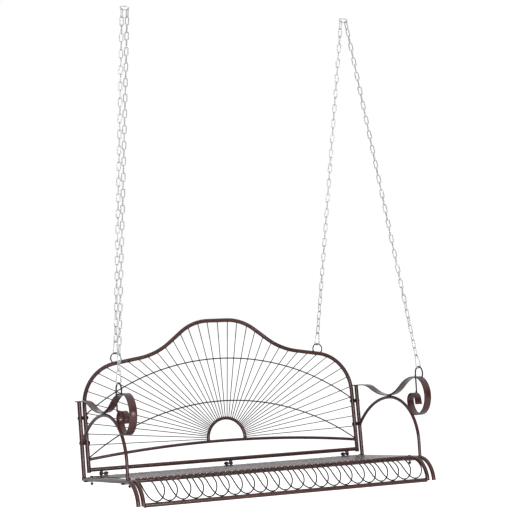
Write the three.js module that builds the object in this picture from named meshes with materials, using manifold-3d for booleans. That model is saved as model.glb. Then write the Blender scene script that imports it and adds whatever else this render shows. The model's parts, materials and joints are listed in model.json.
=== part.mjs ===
// Garden swing bench: a two-seat steel bench with a sunburst backrest, hung on four chain strands.
// Millimetres, +Z up, the front faces -Y and +X is to the right of someone who looks at the front.
// A name that ends in Angle is in degrees.
// The origin is midway between the two hanging links, on the line the whole bench swings about.
import * as THREE from 'three';
import { mergeVertices } from 'three/addons/utils/BufferGeometryUtils.js';
import Module from 'manifold-3d';

const wasm = await Module();
wasm.setup();

// Steel sections
const tubeD = 16;
const archD = 12.7;
const railD = 12;
const arcWireD = 5;
const rayWireD = 3;
const loopWireD = 4.5;
const ringWireD = 5;
const eyeWireD = 6;
const chainWireD = 4;
const hookWireD = 5;
const stripT = 4.5;
const plateT = 3;
const gap = 0.3; // between pieces that touch or are welded face to face
const weldSink = 0.6; // how far crossing wires melt into each other

// Roundness: sides of a section, and the most that one straight facet of a bend turns
const tubeSides = 8;
const wireSides = 6;
const thinWireSides = 4;
const facetAngle = 14;
const tightFacetAngle = 31; // in bends tighter than tightR
const tightR = 32;

// How the bench hangs
const hangAngle = 4.1; // the front is lifted when the bench hangs at rest
const hangerHalfSpan = 479; // from the middle to each hanging link
const strandOffset = 11; // each strand hangs this far off the middle of its hanging link

// Backrest, in its own plane: x from the middle, s up the slope
const backLeanAngle = 3.65;
const backHalfWidth = 598;
const backFootS = 22;
const backSideTopS = 279;
const shoulderR = 165;
const shoulderAngle = 81.4;
const dipR = 295;
const dipAngle = 28.5;
const crownRun = 70;
const crownR = 201;
const crownFlatHalf = 42;
const bottomRailS = 33.75;
const archedRailEndS = 74;
const archedRailRise = 35;
const sunR = 81.5;
const sunS = 117;
// Where the rays meet the inner edge of the frame tube, as shares of its length from the crown to the foot
const rayShares = [
  0, 0.047, 0.09, 0.138, 0.182, 0.226, 0.271, 0.313, 0.357, 0.4, 0.447,
  0.493, 0.544, 0.588, 0.63, 0.676, 0.72, 0.764, 0.804, 0.846, 0.89,
];
const outerArcEndS = 251;
const outerArcRise = 191;
const innerArcEndS = 82;
const innerArcRise = 187;
const arcSteps = 18;
const archedRailSteps = 8;
const chainRingR = 21;
const chainRingInset = 145; // from the side tube
const chainRingRise = 19.5; // centre of the ring above the frame tube's centre line
const chainRingAngle = 270;

// Arms: u runs forward from the post, z up from the centre line of the arm's bottom bar
const spacerLength = 6; // between the backrest's side tube and the post
const postLeanAngle = 2.9;
const postTopZ = 297;
const archTopZ = 243;
const archFrontR = 230;
const archFrontAngle = 35;
const archKneeR = 171;
const archRearAngle = 47;
const waterfallStartU = 456;
const waterfallR = 90;
const waterfallAngle = 88;
const stripWidth = 30;
const stripRearU = -24;
const humpR = 147;
const humpAngle = 24;
const valleyRearR = 277;
const valleyFrontR = 179;
const climbAngle = 31;
const climbRun = 30;
const crestR = 177;
const crestRun = 8;
const scrollR = 74.5;
const scrollHeelR = 56;
const curlR = 29;
const curlTailR = 30;
const curlTailAngle = 30;
const eyeR = 26.5;
const eyeRise = 13; // centre of the eye above the strip's crest
const eyeAngle = 220;

// Seat
const seatBarInset = 7; // between the arm's bottom bar and the seat's side bar
const seatBarStartU = 448;
const frontRailU = 440;
const slatCount = 45;
const slatWidth = 18;
const slatT = 2;
const slatLip = 5;
const slatBevel = 3;
const slatNoseRun = 3.8;
const crossBarU = 225;
const crossBarWidth = 20;
const apronRailU = 534;
const apronRailZ = -84;
const loopCount = 22;
const loopRowInset = 52; // from the seat's side bar to the middle of the first loop
const loopHalfWidth = 41;
const legSteps = 4;
const bendSteps = 10;

// Fasteners
const boltD = 6;
const headD = 13;
const headH = 4;
const nutH = 5;
const boltTail = 4;
const boltSides = 6;
const seatNutDrop = 5; // from the tab down to the nut
const sideHeadH = 1.2;
const sideNutH = 3;
const sideBoltTail = 1;
const spacerD = 15;
const clipInset = 58; // from the seat's side bar
const clipY = 2;
const clipBoltZ = 16.6;
const clipTabWidth = 18;
const clipTabT = 7;
const clipTabOffset = 8.5;
const clipTabEnd = 7; // from the bolt to the round end of a tab
const sideBoltZs = { upper: 235, lower: 138 };
const seatBoltUs = { rear: 21, front: 414 };
const armTabLength = 20;
const armTabInside = 10;

// Chains and snap hooks
const linkPitch = 31;
const linkBarW = 3.54; // a square bar with the section of the round chain wire
const linkHalfWidth = 6.5;
const linkShoulder = 3.4;
const rearLinks = 42;
const frontLinks = 45;
const strandAngle = 10; // the links are turned about their strand
const hookInside = 50;
const hookTopR = 5.7;
const hookBottomR = 10;
const hookNose = 3;
const hookPivotLeg = 4;
const hangerPlay = 1.5;
const rearLinkPlay = 3;
const frontLinkPlay = 1.7;
const hookRingPlay = 2.2;
const hookEyePlay = 1.8;
const rearHookAngle = -53; // about the strand
const frontHookAngle = 0;
const gateD = 4.5;

// Materials
const bronze = new THREE.MeshStandardMaterial({ color: 0x3d2926, roughness: 0.45, metalness: 0.6 });
const darkWire = new THREE.MeshStandardMaterial({ color: 0x3a3634, roughness: 0.5, metalness: 0.6 });
const zinc = new THREE.MeshStandardMaterial({ color: 0xc4c6c8, roughness: 0.35, metalness: 0.9 });
const blackBolt = new THREE.MeshStandardMaterial({ color: 0x141314, roughness: 0.5, metalness: 0.5 });

const degrees = THREE.MathUtils.degToRad;
const tubeR = tubeD / 2;
const barHalf = linkBarW / 2;
const armX = backHalfWidth + tubeD + spacerLength;
const seatBarX = armX - tubeD - seatBarInset;
const railHalf = seatBarX - tubeR - gap;
const chainRingX = backHalfWidth - chainRingInset;

// A path of straight runs and tangent arcs in a plane; a positive turn is to the left.
function track(startX, startY, heading, moves) {
  const points = [new THREE.Vector2(startX, startY)];
  let angle = degrees(heading);
  for (const move of moves) {
    const from = points.at(-1).clone();
    if (move.run !== undefined) {
      points.push(from.add(new THREE.Vector2(Math.cos(angle), Math.sin(angle)).multiplyScalar(move.run)));
      continue;
    }
    const side = Math.sign(move.turn) * move.radius;
    const centre = new THREE.Vector2(from.x - side * Math.sin(angle), from.y + side * Math.cos(angle));
    const facet = move.radius < tightR ? tightFacetAngle : facetAngle;
    const steps = Math.ceil(Math.abs(move.turn) / facet);
    for (let i = 1; i <= steps; i++) {
      const at = angle + (degrees(move.turn) * i) / steps;
      points.push(new THREE.Vector2(centre.x + side * Math.sin(at), centre.y - side * Math.cos(at)));
    }
    angle += degrees(move.turn);
  }
  return points;
}

// A run of straight pieces through given points, with a bisecting direction at each point.
class Polyline extends THREE.Curve {
  constructor(points) {
    super();
    this.points = points;
  }

  getPoint(t, target = new THREE.Vector3()) {
    const place = t * (this.points.length - 1);
    const i = Math.min(Math.floor(place), this.points.length - 2);
    return target.lerpVectors(this.points[i], this.points[i + 1], place - i);
  }

  getPointAt(t, target) {
    return this.getPoint(t, target);
  }

  getTangentAt(t, target = new THREE.Vector3()) {
    const last = this.points.length - 1;
    const i = Math.round(t * last);
    const direction = (a, b) => this.points[b].clone().sub(this.points[a]).normalize();
    target.set(0, 0, 0);
    if (i > 0) target.add(direction(i - 1, i));
    if (i < last) target.add(direction(i, i + 1));
    return target.normalize();
  }
}

// A regular section whose flats are half a diameter from the middle.
function section(diameter, sides) {
  const corner = diameter / 2 / Math.cos(Math.PI / sides);
  const start = sides === wireSides ? 0 : 0.5;
  const points = Array.from({ length: sides }, (_, i) => {
    const angle = ((i + start) * 2 * Math.PI) / sides;
    return new THREE.Vector2(corner * Math.cos(angle), corner * Math.sin(angle));
  });
  return new THREE.Shape(points);
}

function rod(points, diameter, sides) {
  const extrudePath = new Polyline(points);
  return new THREE.ExtrudeGeometry(section(diameter, sides), { steps: points.length - 1, extrudePath });
}

// A closed body from corner points and quads, turned so that its faces point out.
function closedBody(corners, quads) {
  const index = quads.flatMap(([a, b, c, d]) => [a, b, c, a, c, d]);
  let volume = 0;
  for (let i = 0; i < index.length; i += 3) {
    const [a, b, c] = [corners[index[i]], corners[index[i + 1]], corners[index[i + 2]]];
    volume += a.dot(b.clone().cross(c));
  }
  const geometry = new THREE.BufferGeometry().setFromPoints(corners);
  geometry.setIndex(volume < 0 ? index.reverse() : index);
  return geometry;
}

// A wire through given centres, with the direction that its surface faces at each. A closed one joins up with
// itself, and an open one is a square bar with two flat ends.
function wireAlong({ centres, faceDirections, diameter, sides, closed }) {
  const count = centres.length;
  const shape = section(diameter, sides).getPoints();
  const corners = centres.flatMap((centre, i) => {
    const next = closed ? (i + 1) % count : Math.min(i + 1, count - 1);
    const last = closed ? (i + count - 1) % count : Math.max(i - 1, 0);
    const ahead = centres[next].clone().sub(centres[last]).normalize();
    const out = faceDirections[i];
    const across = ahead.clone().cross(out);
    return shape.map((p) => centre.clone().addScaledVector(out, p.x).addScaledVector(across, p.y));
  });
  const at = (i, j) => (i % count) * shape.length + (j % shape.length);
  const quads = [];
  if (!closed) quads.push([3, 2, 1, 0].map((j) => at(0, j)), [0, 1, 2, 3].map((j) => at(count - 1, j)));
  for (let i = 0; i < (closed ? count : count - 1); i++) {
    for (let j = 0; j < shape.length; j++) {
      quads.push([at(i, j), at(i, j + 1), at(i + 1, j + 1), at(i + 1, j)]);
    }
  }
  return closedBody(corners, quads);
}

function toSolid(geometry) {
  const plain = geometry.clone();
  plain.deleteAttribute('normal');
  plain.deleteAttribute('uv');
  const merged = mergeVertices(plain);
  const vertProperties = new Float32Array(merged.attributes.position.array);
  const triVerts = new Uint32Array(merged.index.array);
  return new wasm.Manifold(new wasm.Mesh({ numProp: 3, vertProperties, triVerts }));
}

function toGeometry(solid) {
  const mesh = solid.getMesh();
  const geometry = new THREE.BufferGeometry();
  geometry.setAttribute('position', new THREE.BufferAttribute(mesh.vertProperties, 3));
  geometry.setIndex(new THREE.BufferAttribute(mesh.triVerts, 1));
  geometry.computeVertexNormals();
  return geometry;
}

function join(geometries) {
  return toGeometry(geometries.map(toSolid).reduce((whole, piece) => whole.add(piece)));
}

function cut(geometry, cutters) {
  const whole = toSolid(geometry);
  return toGeometry(cutters.map(toSolid).reduce((left, cutter) => left.subtract(cutter), whole));
}

// Turns a shape drawn as (u, z) and extruded by its width into the plane of an arm, centred on x = 0.
function inArmPlane(geometry, width) {
  const basis = new THREE.Matrix4().makeBasis(
    new THREE.Vector3(0, -1, 0),
    new THREE.Vector3(0, 0, 1),
    new THREE.Vector3(-1, 0, 0),
  );
  return geometry.translate(0, 0, -width / 2).applyMatrix4(basis);
}

// A flat strip bent along a path in the plane of an arm.
function bentStrip(path, thickness, width) {
  const offset = (side) =>
    path.map((point, i) => {
      const before = path[Math.max(i - 1, 0)];
      const after = path[Math.min(i + 1, path.length - 1)];
      const inward = point.clone().sub(before).normalize();
      const onward = after.clone().sub(point).normalize();
      const ahead = inward.clone().add(onward).normalize();
      const mitre = ahead.dot(i > 0 ? inward : onward);
      const normal = new THREE.Vector2(-ahead.y, ahead.x);
      return point.clone().addScaledVector(normal, (side * thickness) / 2 / mitre);
    });
  const shape = new THREE.Shape([...offset(-1), ...offset(1).reverse()]);
  return inArmPlane(new THREE.ExtrudeGeometry(shape, { depth: width, bevelEnabled: false }), width);
}

// A straight hole cutter or pin along one axis, centred on a point.
function pin(diameter, length, axis, centre) {
  const along = axis.clone().multiplyScalar(length / 2);
  return rod([centre.clone().sub(along), centre.clone().add(along)], diameter, tubeSides);
}

// A bolt that clamps from 0 to its grip, with its head at the top, a nut, and a spacer collar where two tubes
// are held apart.
function bolt({ grip, head = headH, nut = nutH, nutDrop = 0, tail = boltTail, collar }) {
  const r = boltD / 2;
  const nutEnd = -nutDrop - nut;
  const profile = [
    [0, nutEnd - tail],
    [r, nutEnd - tail],
    [r, nutEnd],
    [headD / 2, nutEnd],
    [headD / 2, -nutDrop - gap],
    [r, -nutDrop - gap],
  ];
  if (collar) {
    profile.push([r, collar.from], [spacerD / 2, collar.from], [spacerD / 2, collar.to], [r, collar.to]);
  }
  profile.push([r, grip + gap], [headD / 2, grip + gap], [headD / 2, grip + head], [0, grip + head]);
  const points = profile.map(([radius, height]) => new THREE.Vector2(radius, height));
  return new THREE.LatheGeometry(points, boltSides).rotateX(Math.PI / 2);
}

function piece(name, geometry, material) {
  const mesh = new THREE.Mesh(geometry, material);
  mesh.name = name;
  return mesh;
}

const axisX = new THREE.Vector3(1, 0, 0);
const axisZ = new THREE.Vector3(0, 0, 1);
const holeD = boltD + 2 * gap;
const sides = { left: -1, right: 1 };

// Backrest

const inBack = (p, y = 0) => new THREE.Vector3(p.x, y, p.y);
const crownAngle = 90 + dipAngle - shoulderAngle;
const shoulderSlope = degrees(crownAngle - dipAngle);

// The right half of the frame's path, or of a line that runs a set distance inside it.
function backOutline(inset) {
  const steep = Math.sin(degrees(crownAngle));
  const shallow = Math.sin(shoulderSlope);
  const bends = crownR * steep + dipR * (steep - shallow) + shoulderR * (1 - shallow);
  const straights = crownFlatHalf + crownRun * Math.cos(degrees(crownAngle));
  const shoulderRun = (backHalfWidth - bends - straights) / Math.cos(shoulderSlope);
  const moves = [
    { run: crownFlatHalf },
    { turn: -crownAngle, radius: crownR - inset },
    { run: crownRun },
    { turn: dipAngle, radius: dipR + inset },
    { run: shoulderRun },
    { turn: -shoulderAngle, radius: shoulderR - inset },
    { run: backSideTopS - backFootS },
  ];
  const points = track(0, 0, 0, moves);
  const rise = backFootS - points.at(-1).y;
  return points.map((p) => new THREE.Vector2(p.x, p.y + rise));
}

// The point that lies a share of the length along an outline.
function alongOutline(points, share) {
  const steps = points.slice(1).map((point, i) => point.distanceTo(points[i]));
  let left = share * steps.reduce((sum, step) => sum + step);
  const i = steps.findIndex((step) => {
    left -= step;
    return left <= 0;
  });
  return points[i + 1].clone().lerp(points[i], -left / steps[i]);
}

// The height of an outline above a place across the backrest.
function heightAt(points, x) {
  const i = points.findIndex((p) => p.x > x);
  const share = (x - points[i - 1].x) / (points[i].x - points[i - 1].x);
  return THREE.MathUtils.lerp(points[i - 1].y, points[i].y, share);
}

// A circular arc across the backrest, from tube centre to tube centre.
function crossArc(endS, rise, y, steps = arcSteps) {
  const chord = backHalfWidth - tubeR;
  const radius = (chord * chord + rise * rise) / (2 * rise);
  const reach = Math.asin(backHalfWidth / radius);
  return Array.from({ length: steps + 1 }, (_, i) => {
    const angle = reach * ((2 * i) / steps - 1);
    return new THREE.Vector3(radius * Math.sin(angle), y, endS + rise - radius * (1 - Math.cos(angle)));
  });
}

const frameHalf = backOutline(0);
const frameWhole = [...frameHalf.map((p) => new THREE.Vector2(-p.x, p.y)).reverse(), ...frameHalf];
const framePath = frameWhole.map((p) => inBack(p));
const frameClearance = rod(framePath, tubeD + 2 * gap, tubeSides);
const archedRailPath = crossArc(archedRailEndS, archedRailRise, 0, archedRailSteps);
const archedRailClearance = rod(archedRailPath, railD + 2 * gap, tubeSides);
const sunPath = track(sunR, sunS - railD, 90, [{ run: railD }, { turn: 180, radius: sunR }, { run: railD }]);

// Where a bolt through an arm post and the backrest's side tube lies, in the bench's frame
const postY = (z) => z * Math.tan(degrees(postLeanAngle));
const sideBoltY = (z) => (postY(z) + z * Math.tan(degrees(backLeanAngle))) / 2;

function backFrame() {
  const holes = Object.values(sides).flatMap((side) =>
    Object.values(sideBoltZs).map((z) => {
      const centre = new THREE.Vector3(side * backHalfWidth, sideBoltY(z), z);
      return pin(holeD, tubeD * 2, axisX, centre.applyAxisAngle(axisX, degrees(backLeanAngle)));
    }),
  );
  return cut(rod(framePath, tubeD, tubeSides), holes);
}

function sunburst() {
  const rayY = -(arcWireD - weldSink) / 2;
  const arcY = (rayWireD - weldSink) / 2;
  const inner = backOutline(tubeR);
  const centre = new THREE.Vector2(0, sunS);
  const ray = (tip) => {
    const ahead = tip.clone().sub(centre).normalize();
    const start = centre.clone().addScaledVector(ahead, sunR);
    const end = tip.clone().addScaledVector(ahead, tubeR / 2);
    return rod([inBack(start, rayY), inBack(end, rayY)], rayWireD, thinWireSides);
  };
  const rightTips = rayShares.map((share) => alongOutline(inner, share));
  const leftTips = rightTips.slice(1).map((tip) => new THREE.Vector2(-tip.x, tip.y));
  const rays = [...rightTips, ...leftTips].map(ray);
  const arcs = [
    crossArc(outerArcEndS, outerArcRise, arcY),
    crossArc(innerArcEndS, innerArcRise, arcY),
  ].map((path) => rod(path, arcWireD, thinWireSides));
  const sunClearance = rod(sunPath.map((p) => inBack(p)), archD + 2 * gap, tubeSides);
  return cut(join([...arcs, ...rays]), [frameClearance, sunClearance, archedRailClearance]);
}

const chainRingS = heightAt(frameHalf, chainRingX) + chainRingRise;

function chainRing(side) {
  const steps = Math.ceil(chainRingAngle / (2 * facetAngle));
  const path = Array.from({ length: steps + 1 }, (_, i) => {
    const angle = degrees(90 + chainRingAngle * (i / steps - 1 / 2));
    const x = side * chainRingX + chainRingR * Math.cos(angle);
    return new THREE.Vector3(x, 0, chainRingS + chainRingR * Math.sin(angle));
  });
  return cut(rod(path, ringWireD, wireSides), [frameClearance]);
}

function backrest() {
  const group = new THREE.Group();
  group.rotation.x = -degrees(backLeanAngle);
  const railEnd = backHalfWidth - tubeR - gap;
  const bottomRail = [-railEnd, railEnd].map((x) => new THREE.Vector3(x, 0, bottomRailS));
  group.add(piece('backrest_frame', backFrame(), bronze));
  group.add(piece('backrest_bottom_rail', rod(bottomRail, tubeD, tubeSides), bronze));
  group.add(piece('arched_rail', cut(rod(archedRailPath, railD, tubeSides), [frameClearance]), bronze));
  const sunRing = cut(rod(sunPath.map((p) => inBack(p)), archD, tubeSides), [archedRailClearance]);
  group.add(piece('sun_half_ring', sunRing, bronze));
  group.add(piece('sunburst_wires', sunburst(), darkWire));
  for (const [name, side] of Object.entries(sides)) {
    group.add(piece(`chain_ring_${name}`, chainRing(side), darkWire));
  }
  return group;
}

// Clips between the backrest and the seat: one plate from each, and a bolt across

// A plate with one round end and a bolt hole, from its welded edge to its bolt.
function clipTab(weldZ) {
  const away = Math.sign(clipBoltZ - weldZ);
  const half = clipTabWidth / 2;
  const shoulder = clipBoltZ + away * (clipTabEnd - half / 2);
  const tip = clipBoltZ + away * clipTabEnd;
  const outline = [
    [-half, weldZ],
    [-half, shoulder],
    [-half / 2, tip],
    [half / 2, tip],
    [half, shoulder],
    [half, weldZ],
  ];
  const shape = new THREE.Shape(outline.map(([u, z]) => new THREE.Vector2(u, z)));
  const hole = section(holeD, tubeSides).getPoints().map((p) => new THREE.Vector2(p.x, p.y + clipBoltZ));
  shape.holes.push(new THREE.Path(hole));
  const geometry = new THREE.ExtrudeGeometry(shape, { depth: clipTabT, bevelEnabled: false });
  return inArmPlane(geometry, clipTabT);
}

function clips() {
  const group = new THREE.Group();
  group.position.y = clipY;
  const upperWeldZ = bottomRailS * Math.cos(degrees(backLeanAngle)) - tubeR - gap;
  const clipX = seatBarX - clipInset;
  const places = [
    ['left', -clipX, -1],
    ['middle', 0, 1],
    ['right', clipX, 1],
  ];
  for (const [name, x, upperSide] of places) {
    const upper = piece(`clip_upper_tab_${name}`, clipTab(upperWeldZ), bronze);
    upper.position.x = x + upperSide * clipTabOffset;
    const lower = piece(`clip_lower_tab_${name}`, clipTab(tubeR + gap), bronze);
    lower.position.x = x - upperSide * clipTabOffset;
    const grip = 2 * clipTabOffset + clipTabT;
    const pinPiece = piece(`clip_bolt_${name}`, bolt({ grip }), blackBolt);
    pinPiece.rotation.y = (upperSide * Math.PI) / 2;
    pinPiece.position.set(x - (upperSide * grip) / 2, 0, clipBoltZ);
    group.add(upper, lower, pinPiece);
  }
  return group;
}

// Arms

const inArm = (p, x = 0) => new THREE.Vector3(x, -p.x, p.y);

// A seat-level bar that bends down at the front.
function waterfallPath(startU) {
  return track(-tubeR, 0, 0, [{ run: startU + tubeR }, { turn: -waterfallAngle, radius: waterfallR }]);
}

function archPath() {
  const kneeAngle = 90 - archFrontAngle;
  const frontSpan = archFrontR * Math.sin(degrees(archFrontAngle));
  const kneeSpan = archKneeR * (1 - Math.sin(degrees(archFrontAngle)));
  const topU = waterfallStartU - frontSpan - kneeSpan;
  const rearDrop = 1 - Math.cos(degrees(archRearAngle));
  const rearR = (topU + postY(archTopZ)) / (Math.sin(degrees(archRearAngle)) + postY(rearDrop));
  const frontDrop = archFrontR * (1 - Math.cos(degrees(archFrontAngle)));
  const kneeDrop = archKneeR * Math.cos(degrees(archFrontAngle));
  const rear = track(topU, archTopZ, 180, [{ turn: archRearAngle, radius: rearR }]);
  const front = track(topU, archTopZ, 0, [
    { turn: -archFrontAngle, radius: archFrontR },
    { turn: -kneeAngle, radius: archKneeR },
    { run: archTopZ - frontDrop - kneeDrop - tubeR - gap },
  ]);
  return { topU, points: [...rear.reverse(), ...front.slice(1)] };
}

const arch = archPath();

// The strip of the armrest: flat on the post, down to the arch, up to its crest, and round the scroll.
function scrollPath() {
  const drop = degrees(humpAngle);
  const startZ = postTopZ + gap + stripT / 2;
  const seatZ = archTopZ + archD / 2 + gap + stripT / 2;
  const bendDrop = (humpR + valleyRearR) * (1 - Math.cos(drop));
  const fallRun = (startZ - seatZ - bendDrop) / Math.sin(drop);
  const bendSpan = (humpR + valleyRearR) * Math.sin(drop);
  const flatRun = arch.topU - stripRearU - bendSpan - fallRun * Math.cos(drop);
  return track(stripRearU, startZ, 0, [
    { run: flatRun },
    { turn: -humpAngle, radius: humpR },
    { run: fallRun },
    { turn: humpAngle, radius: valleyRearR },
    { turn: climbAngle, radius: valleyFrontR },
    { run: climbRun },
    { turn: -climbAngle, radius: crestR },
    { run: crestRun },
    { turn: -180, radius: scrollR },
    { turn: -90, radius: scrollHeelR },
    { turn: -180, radius: curlR },
    { turn: curlTailAngle, radius: curlTailR },
  ]);
}

const scroll = scrollPath();
const crest = scroll.reduce((best, p) => (p.y > best.y ? p : best));
const eyeCentre = new THREE.Vector2(crest.x, crest.y + eyeRise);
const eyeX = stripWidth / 2 + gap + eyeWireD / 2;

function eyeRod(side) {
  const shankFoot = crest.y - 2 * scrollR + scrollHeelR + curlR - stripT / 2;
  const path = track(eyeCentre.x - eyeR, shankFoot, 90, [
    { run: eyeCentre.y - shankFoot },
    { turn: -eyeAngle, radius: eyeR },
  ]);
  return rod(path.map((p) => inArm(p, side * eyeX)), eyeWireD, wireSides);
}

function armTab(side) {
  const holeX = side * (seatBarX - armX);
  const inner = holeX - side * armTabInside;
  const outer = side * tubeR;
  const half = armTabLength / 2;
  const shape = new THREE.Shape([
    new THREE.Vector2(inner, -half),
    new THREE.Vector2(outer, -half),
    new THREE.Vector2(outer, half),
    new THREE.Vector2(inner, half),
  ]);
  const hole = section(holeD, tubeSides).getPoints().map((p) => new THREE.Vector2(p.x + holeX, p.y));
  shape.holes.push(new THREE.Path(hole));
  return new THREE.ExtrudeGeometry(shape, { depth: plateT, bevelEnabled: false }).translate(0, 0, -plateT);
}

function arm(name, side) {
  const group = new THREE.Group();
  group.position.x = side * armX;
  const endDip = tubeR * Math.sin(degrees(postLeanAngle));
  const postEnds = [tubeR + gap + endDip, postTopZ - endDip];
  const postPath = postEnds.map((z) => new THREE.Vector3(0, postY(z), z));
  const holes = Object.values(sideBoltZs).map((z) =>
    pin(holeD, tubeD * 2, axisX, new THREE.Vector3(0, sideBoltY(z), z)),
  );
  const postClearance = rod(postPath, tubeD + 2 * gap, tubeSides);
  const archTube = rod(arch.points.map((p) => inArm(p)), archD, tubeSides);
  const bottomBar = rod(waterfallPath(waterfallStartU).map((p) => inArm(p)), tubeD, tubeSides);
  group.add(piece(`arm_post_${name}`, cut(rod(postPath, tubeD, tubeSides), holes), bronze));
  group.add(piece(`arm_arch_${name}`, cut(archTube, [postClearance]), bronze));
  group.add(piece(`arm_bottom_bar_${name}`, bottomBar, bronze));
  group.add(piece(`arm_scroll_${name}`, bentStrip(scroll, stripT, stripWidth), bronze));
  group.add(piece(`eye_rod_${name}`, eyeRod(side), darkWire));
  for (const [place, z] of Object.entries(sideBoltZs)) {
    const grip = 2 * tubeD + spacerLength;
    const collar = { from: tubeD + gap, to: tubeD + spacerLength - gap };
    const shape = bolt({ grip, head: sideHeadH, nut: sideNutH, tail: sideBoltTail, collar });
    const sideBolt = piece(`back_bolt_${place}_${name}`, shape, blackBolt);
    sideBolt.rotation.y = (side * Math.PI) / 2;
    sideBolt.position.set(side * (tubeR - grip), sideBoltY(z), z);
    group.add(sideBolt);
  }
  for (const [place, u] of Object.entries(seatBoltUs)) {
    const tab = piece(`arm_tab_${place}_${name}`, armTab(side), bronze);
    tab.position.set(0, -u, -tubeR - gap);
    const shape = bolt({ grip: tubeD + gap + plateT, nutDrop: seatNutDrop });
    const seatBolt = piece(`seat_bolt_${place}_${name}`, shape, blackBolt);
    seatBolt.position.set(side * (seatBarX - armX), -u, -tubeR - gap - plateT);
    group.add(tab, seatBolt);
  }
  return group;
}

// Seat

function seatSlats() {
  const rise = tubeR + gap + slatT / 2;
  const rearU = tubeR + gap + slatT / 2;
  const nose = new THREE.Vector2(frontRailU + rise * Math.tan(Math.PI / tubeSides), rise);
  const path = [
    new THREE.Vector2(rearU, rise - slatBevel - slatLip),
    new THREE.Vector2(rearU, rise - slatBevel),
    new THREE.Vector2(rearU + slatBevel, rise),
    nose,
    nose.clone().add(new THREE.Vector2(1, -1).setLength(slatNoseRun)),
  ];
  const bar = new THREE.BoxGeometry(2 * railHalf, crossBarWidth, plateT);
  bar.translate(0, -crossBarU, tubeR + gap + weldSink - plateT / 2);
  const slatPitch = (2 * railHalf) / slatCount;
  const slats = Array.from({ length: slatCount }, (_, i) => {
    const x = (i - (slatCount - 1) / 2) * slatPitch;
    return bentStrip(path, slatT, slatWidth).translate(x, 0, 0);
  });
  return join([bar, ...slats]);
}

// U-shaped wires that lie on the waterfall curve: both legs end at the front rail and the bend rests on the
// apron rail.
function apronLoops() {
  const wireCorner = (loopWireD / 2) * Math.SQRT2;
  const topArc = Math.asin((frontRailU + tubeR + gap - seatBarStartU) / waterfallR);
  const bottomArc = Math.acos((waterfallR + apronRailZ + tubeR + gap + wireCorner) / waterfallR);
  const halfArc = (bottomArc - topArc) / 2;
  // The wire's shape as pairs of a share of its half width and an angle on the waterfall curve
  const leg = Array.from({ length: legSteps }, (_, i) => [1, topArc + (halfArc * i) / legSteps]);
  const bend = Array.from({ length: bendSteps + 1 }, (_, i) => {
    const turn = (Math.PI * i) / bendSteps;
    return [Math.cos(turn), topArc + halfArc * (1 + Math.sin(turn))];
  });
  const shape = [...leg, ...bend, ...leg.map(([, arc]) => [-1, arc]).reverse()];
  const loopPitch = (2 * (seatBarX - loopRowInset)) / (loopCount - 1);
  const loops = Array.from({ length: loopCount }, (_, k) => {
    const middleX = (k - (loopCount - 1) / 2) * loopPitch;
    const radius = waterfallR + ((k % 2 === 0 ? 1 : -1) * (loopWireD - weldSink)) / 2;
    const faceDirections = shape.map(([, arc]) => new THREE.Vector3(0, -Math.sin(arc), Math.cos(arc)));
    const centres = shape.map(([share], i) => {
      const middle = new THREE.Vector3(middleX + loopHalfWidth * share, -seatBarStartU, -waterfallR);
      return middle.addScaledVector(faceDirections[i], radius);
    });
    return wireAlong({ centres, faceDirections, diameter: loopWireD, sides: thinWireSides, closed: false });
  });
  return join(loops);
}

function seat() {
  const group = new THREE.Group();
  const rail = (u, z) => {
    const ends = [-railHalf, railHalf].map((x) => new THREE.Vector3(x, -u, z));
    return rod(ends, tubeD, tubeSides);
  };
  for (const [name, side] of Object.entries(sides)) {
    const bar = rod(waterfallPath(seatBarStartU).map((p) => inArm(p, side * seatBarX)), tubeD, tubeSides);
    const holes = Object.values(seatBoltUs).map((u) =>
      pin(holeD, tubeD * 2, axisZ, new THREE.Vector3(side * seatBarX, -u, 0)),
    );
    group.add(piece(`seat_side_bar_${name}`, cut(bar, holes), bronze));
  }
  group.add(piece('seat_rear_rail', rail(0, 0), bronze));
  group.add(piece('seat_front_rail', rail(frontRailU, 0), bronze));
  group.add(piece('apron_rail', rail(apronRailU, apronRailZ), bronze));
  group.add(piece('seat_slats', seatSlats(), bronze));
  group.add(piece('apron_loops', apronLoops(), darkWire));
  return group;
}

// Chains and snap hooks

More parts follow.
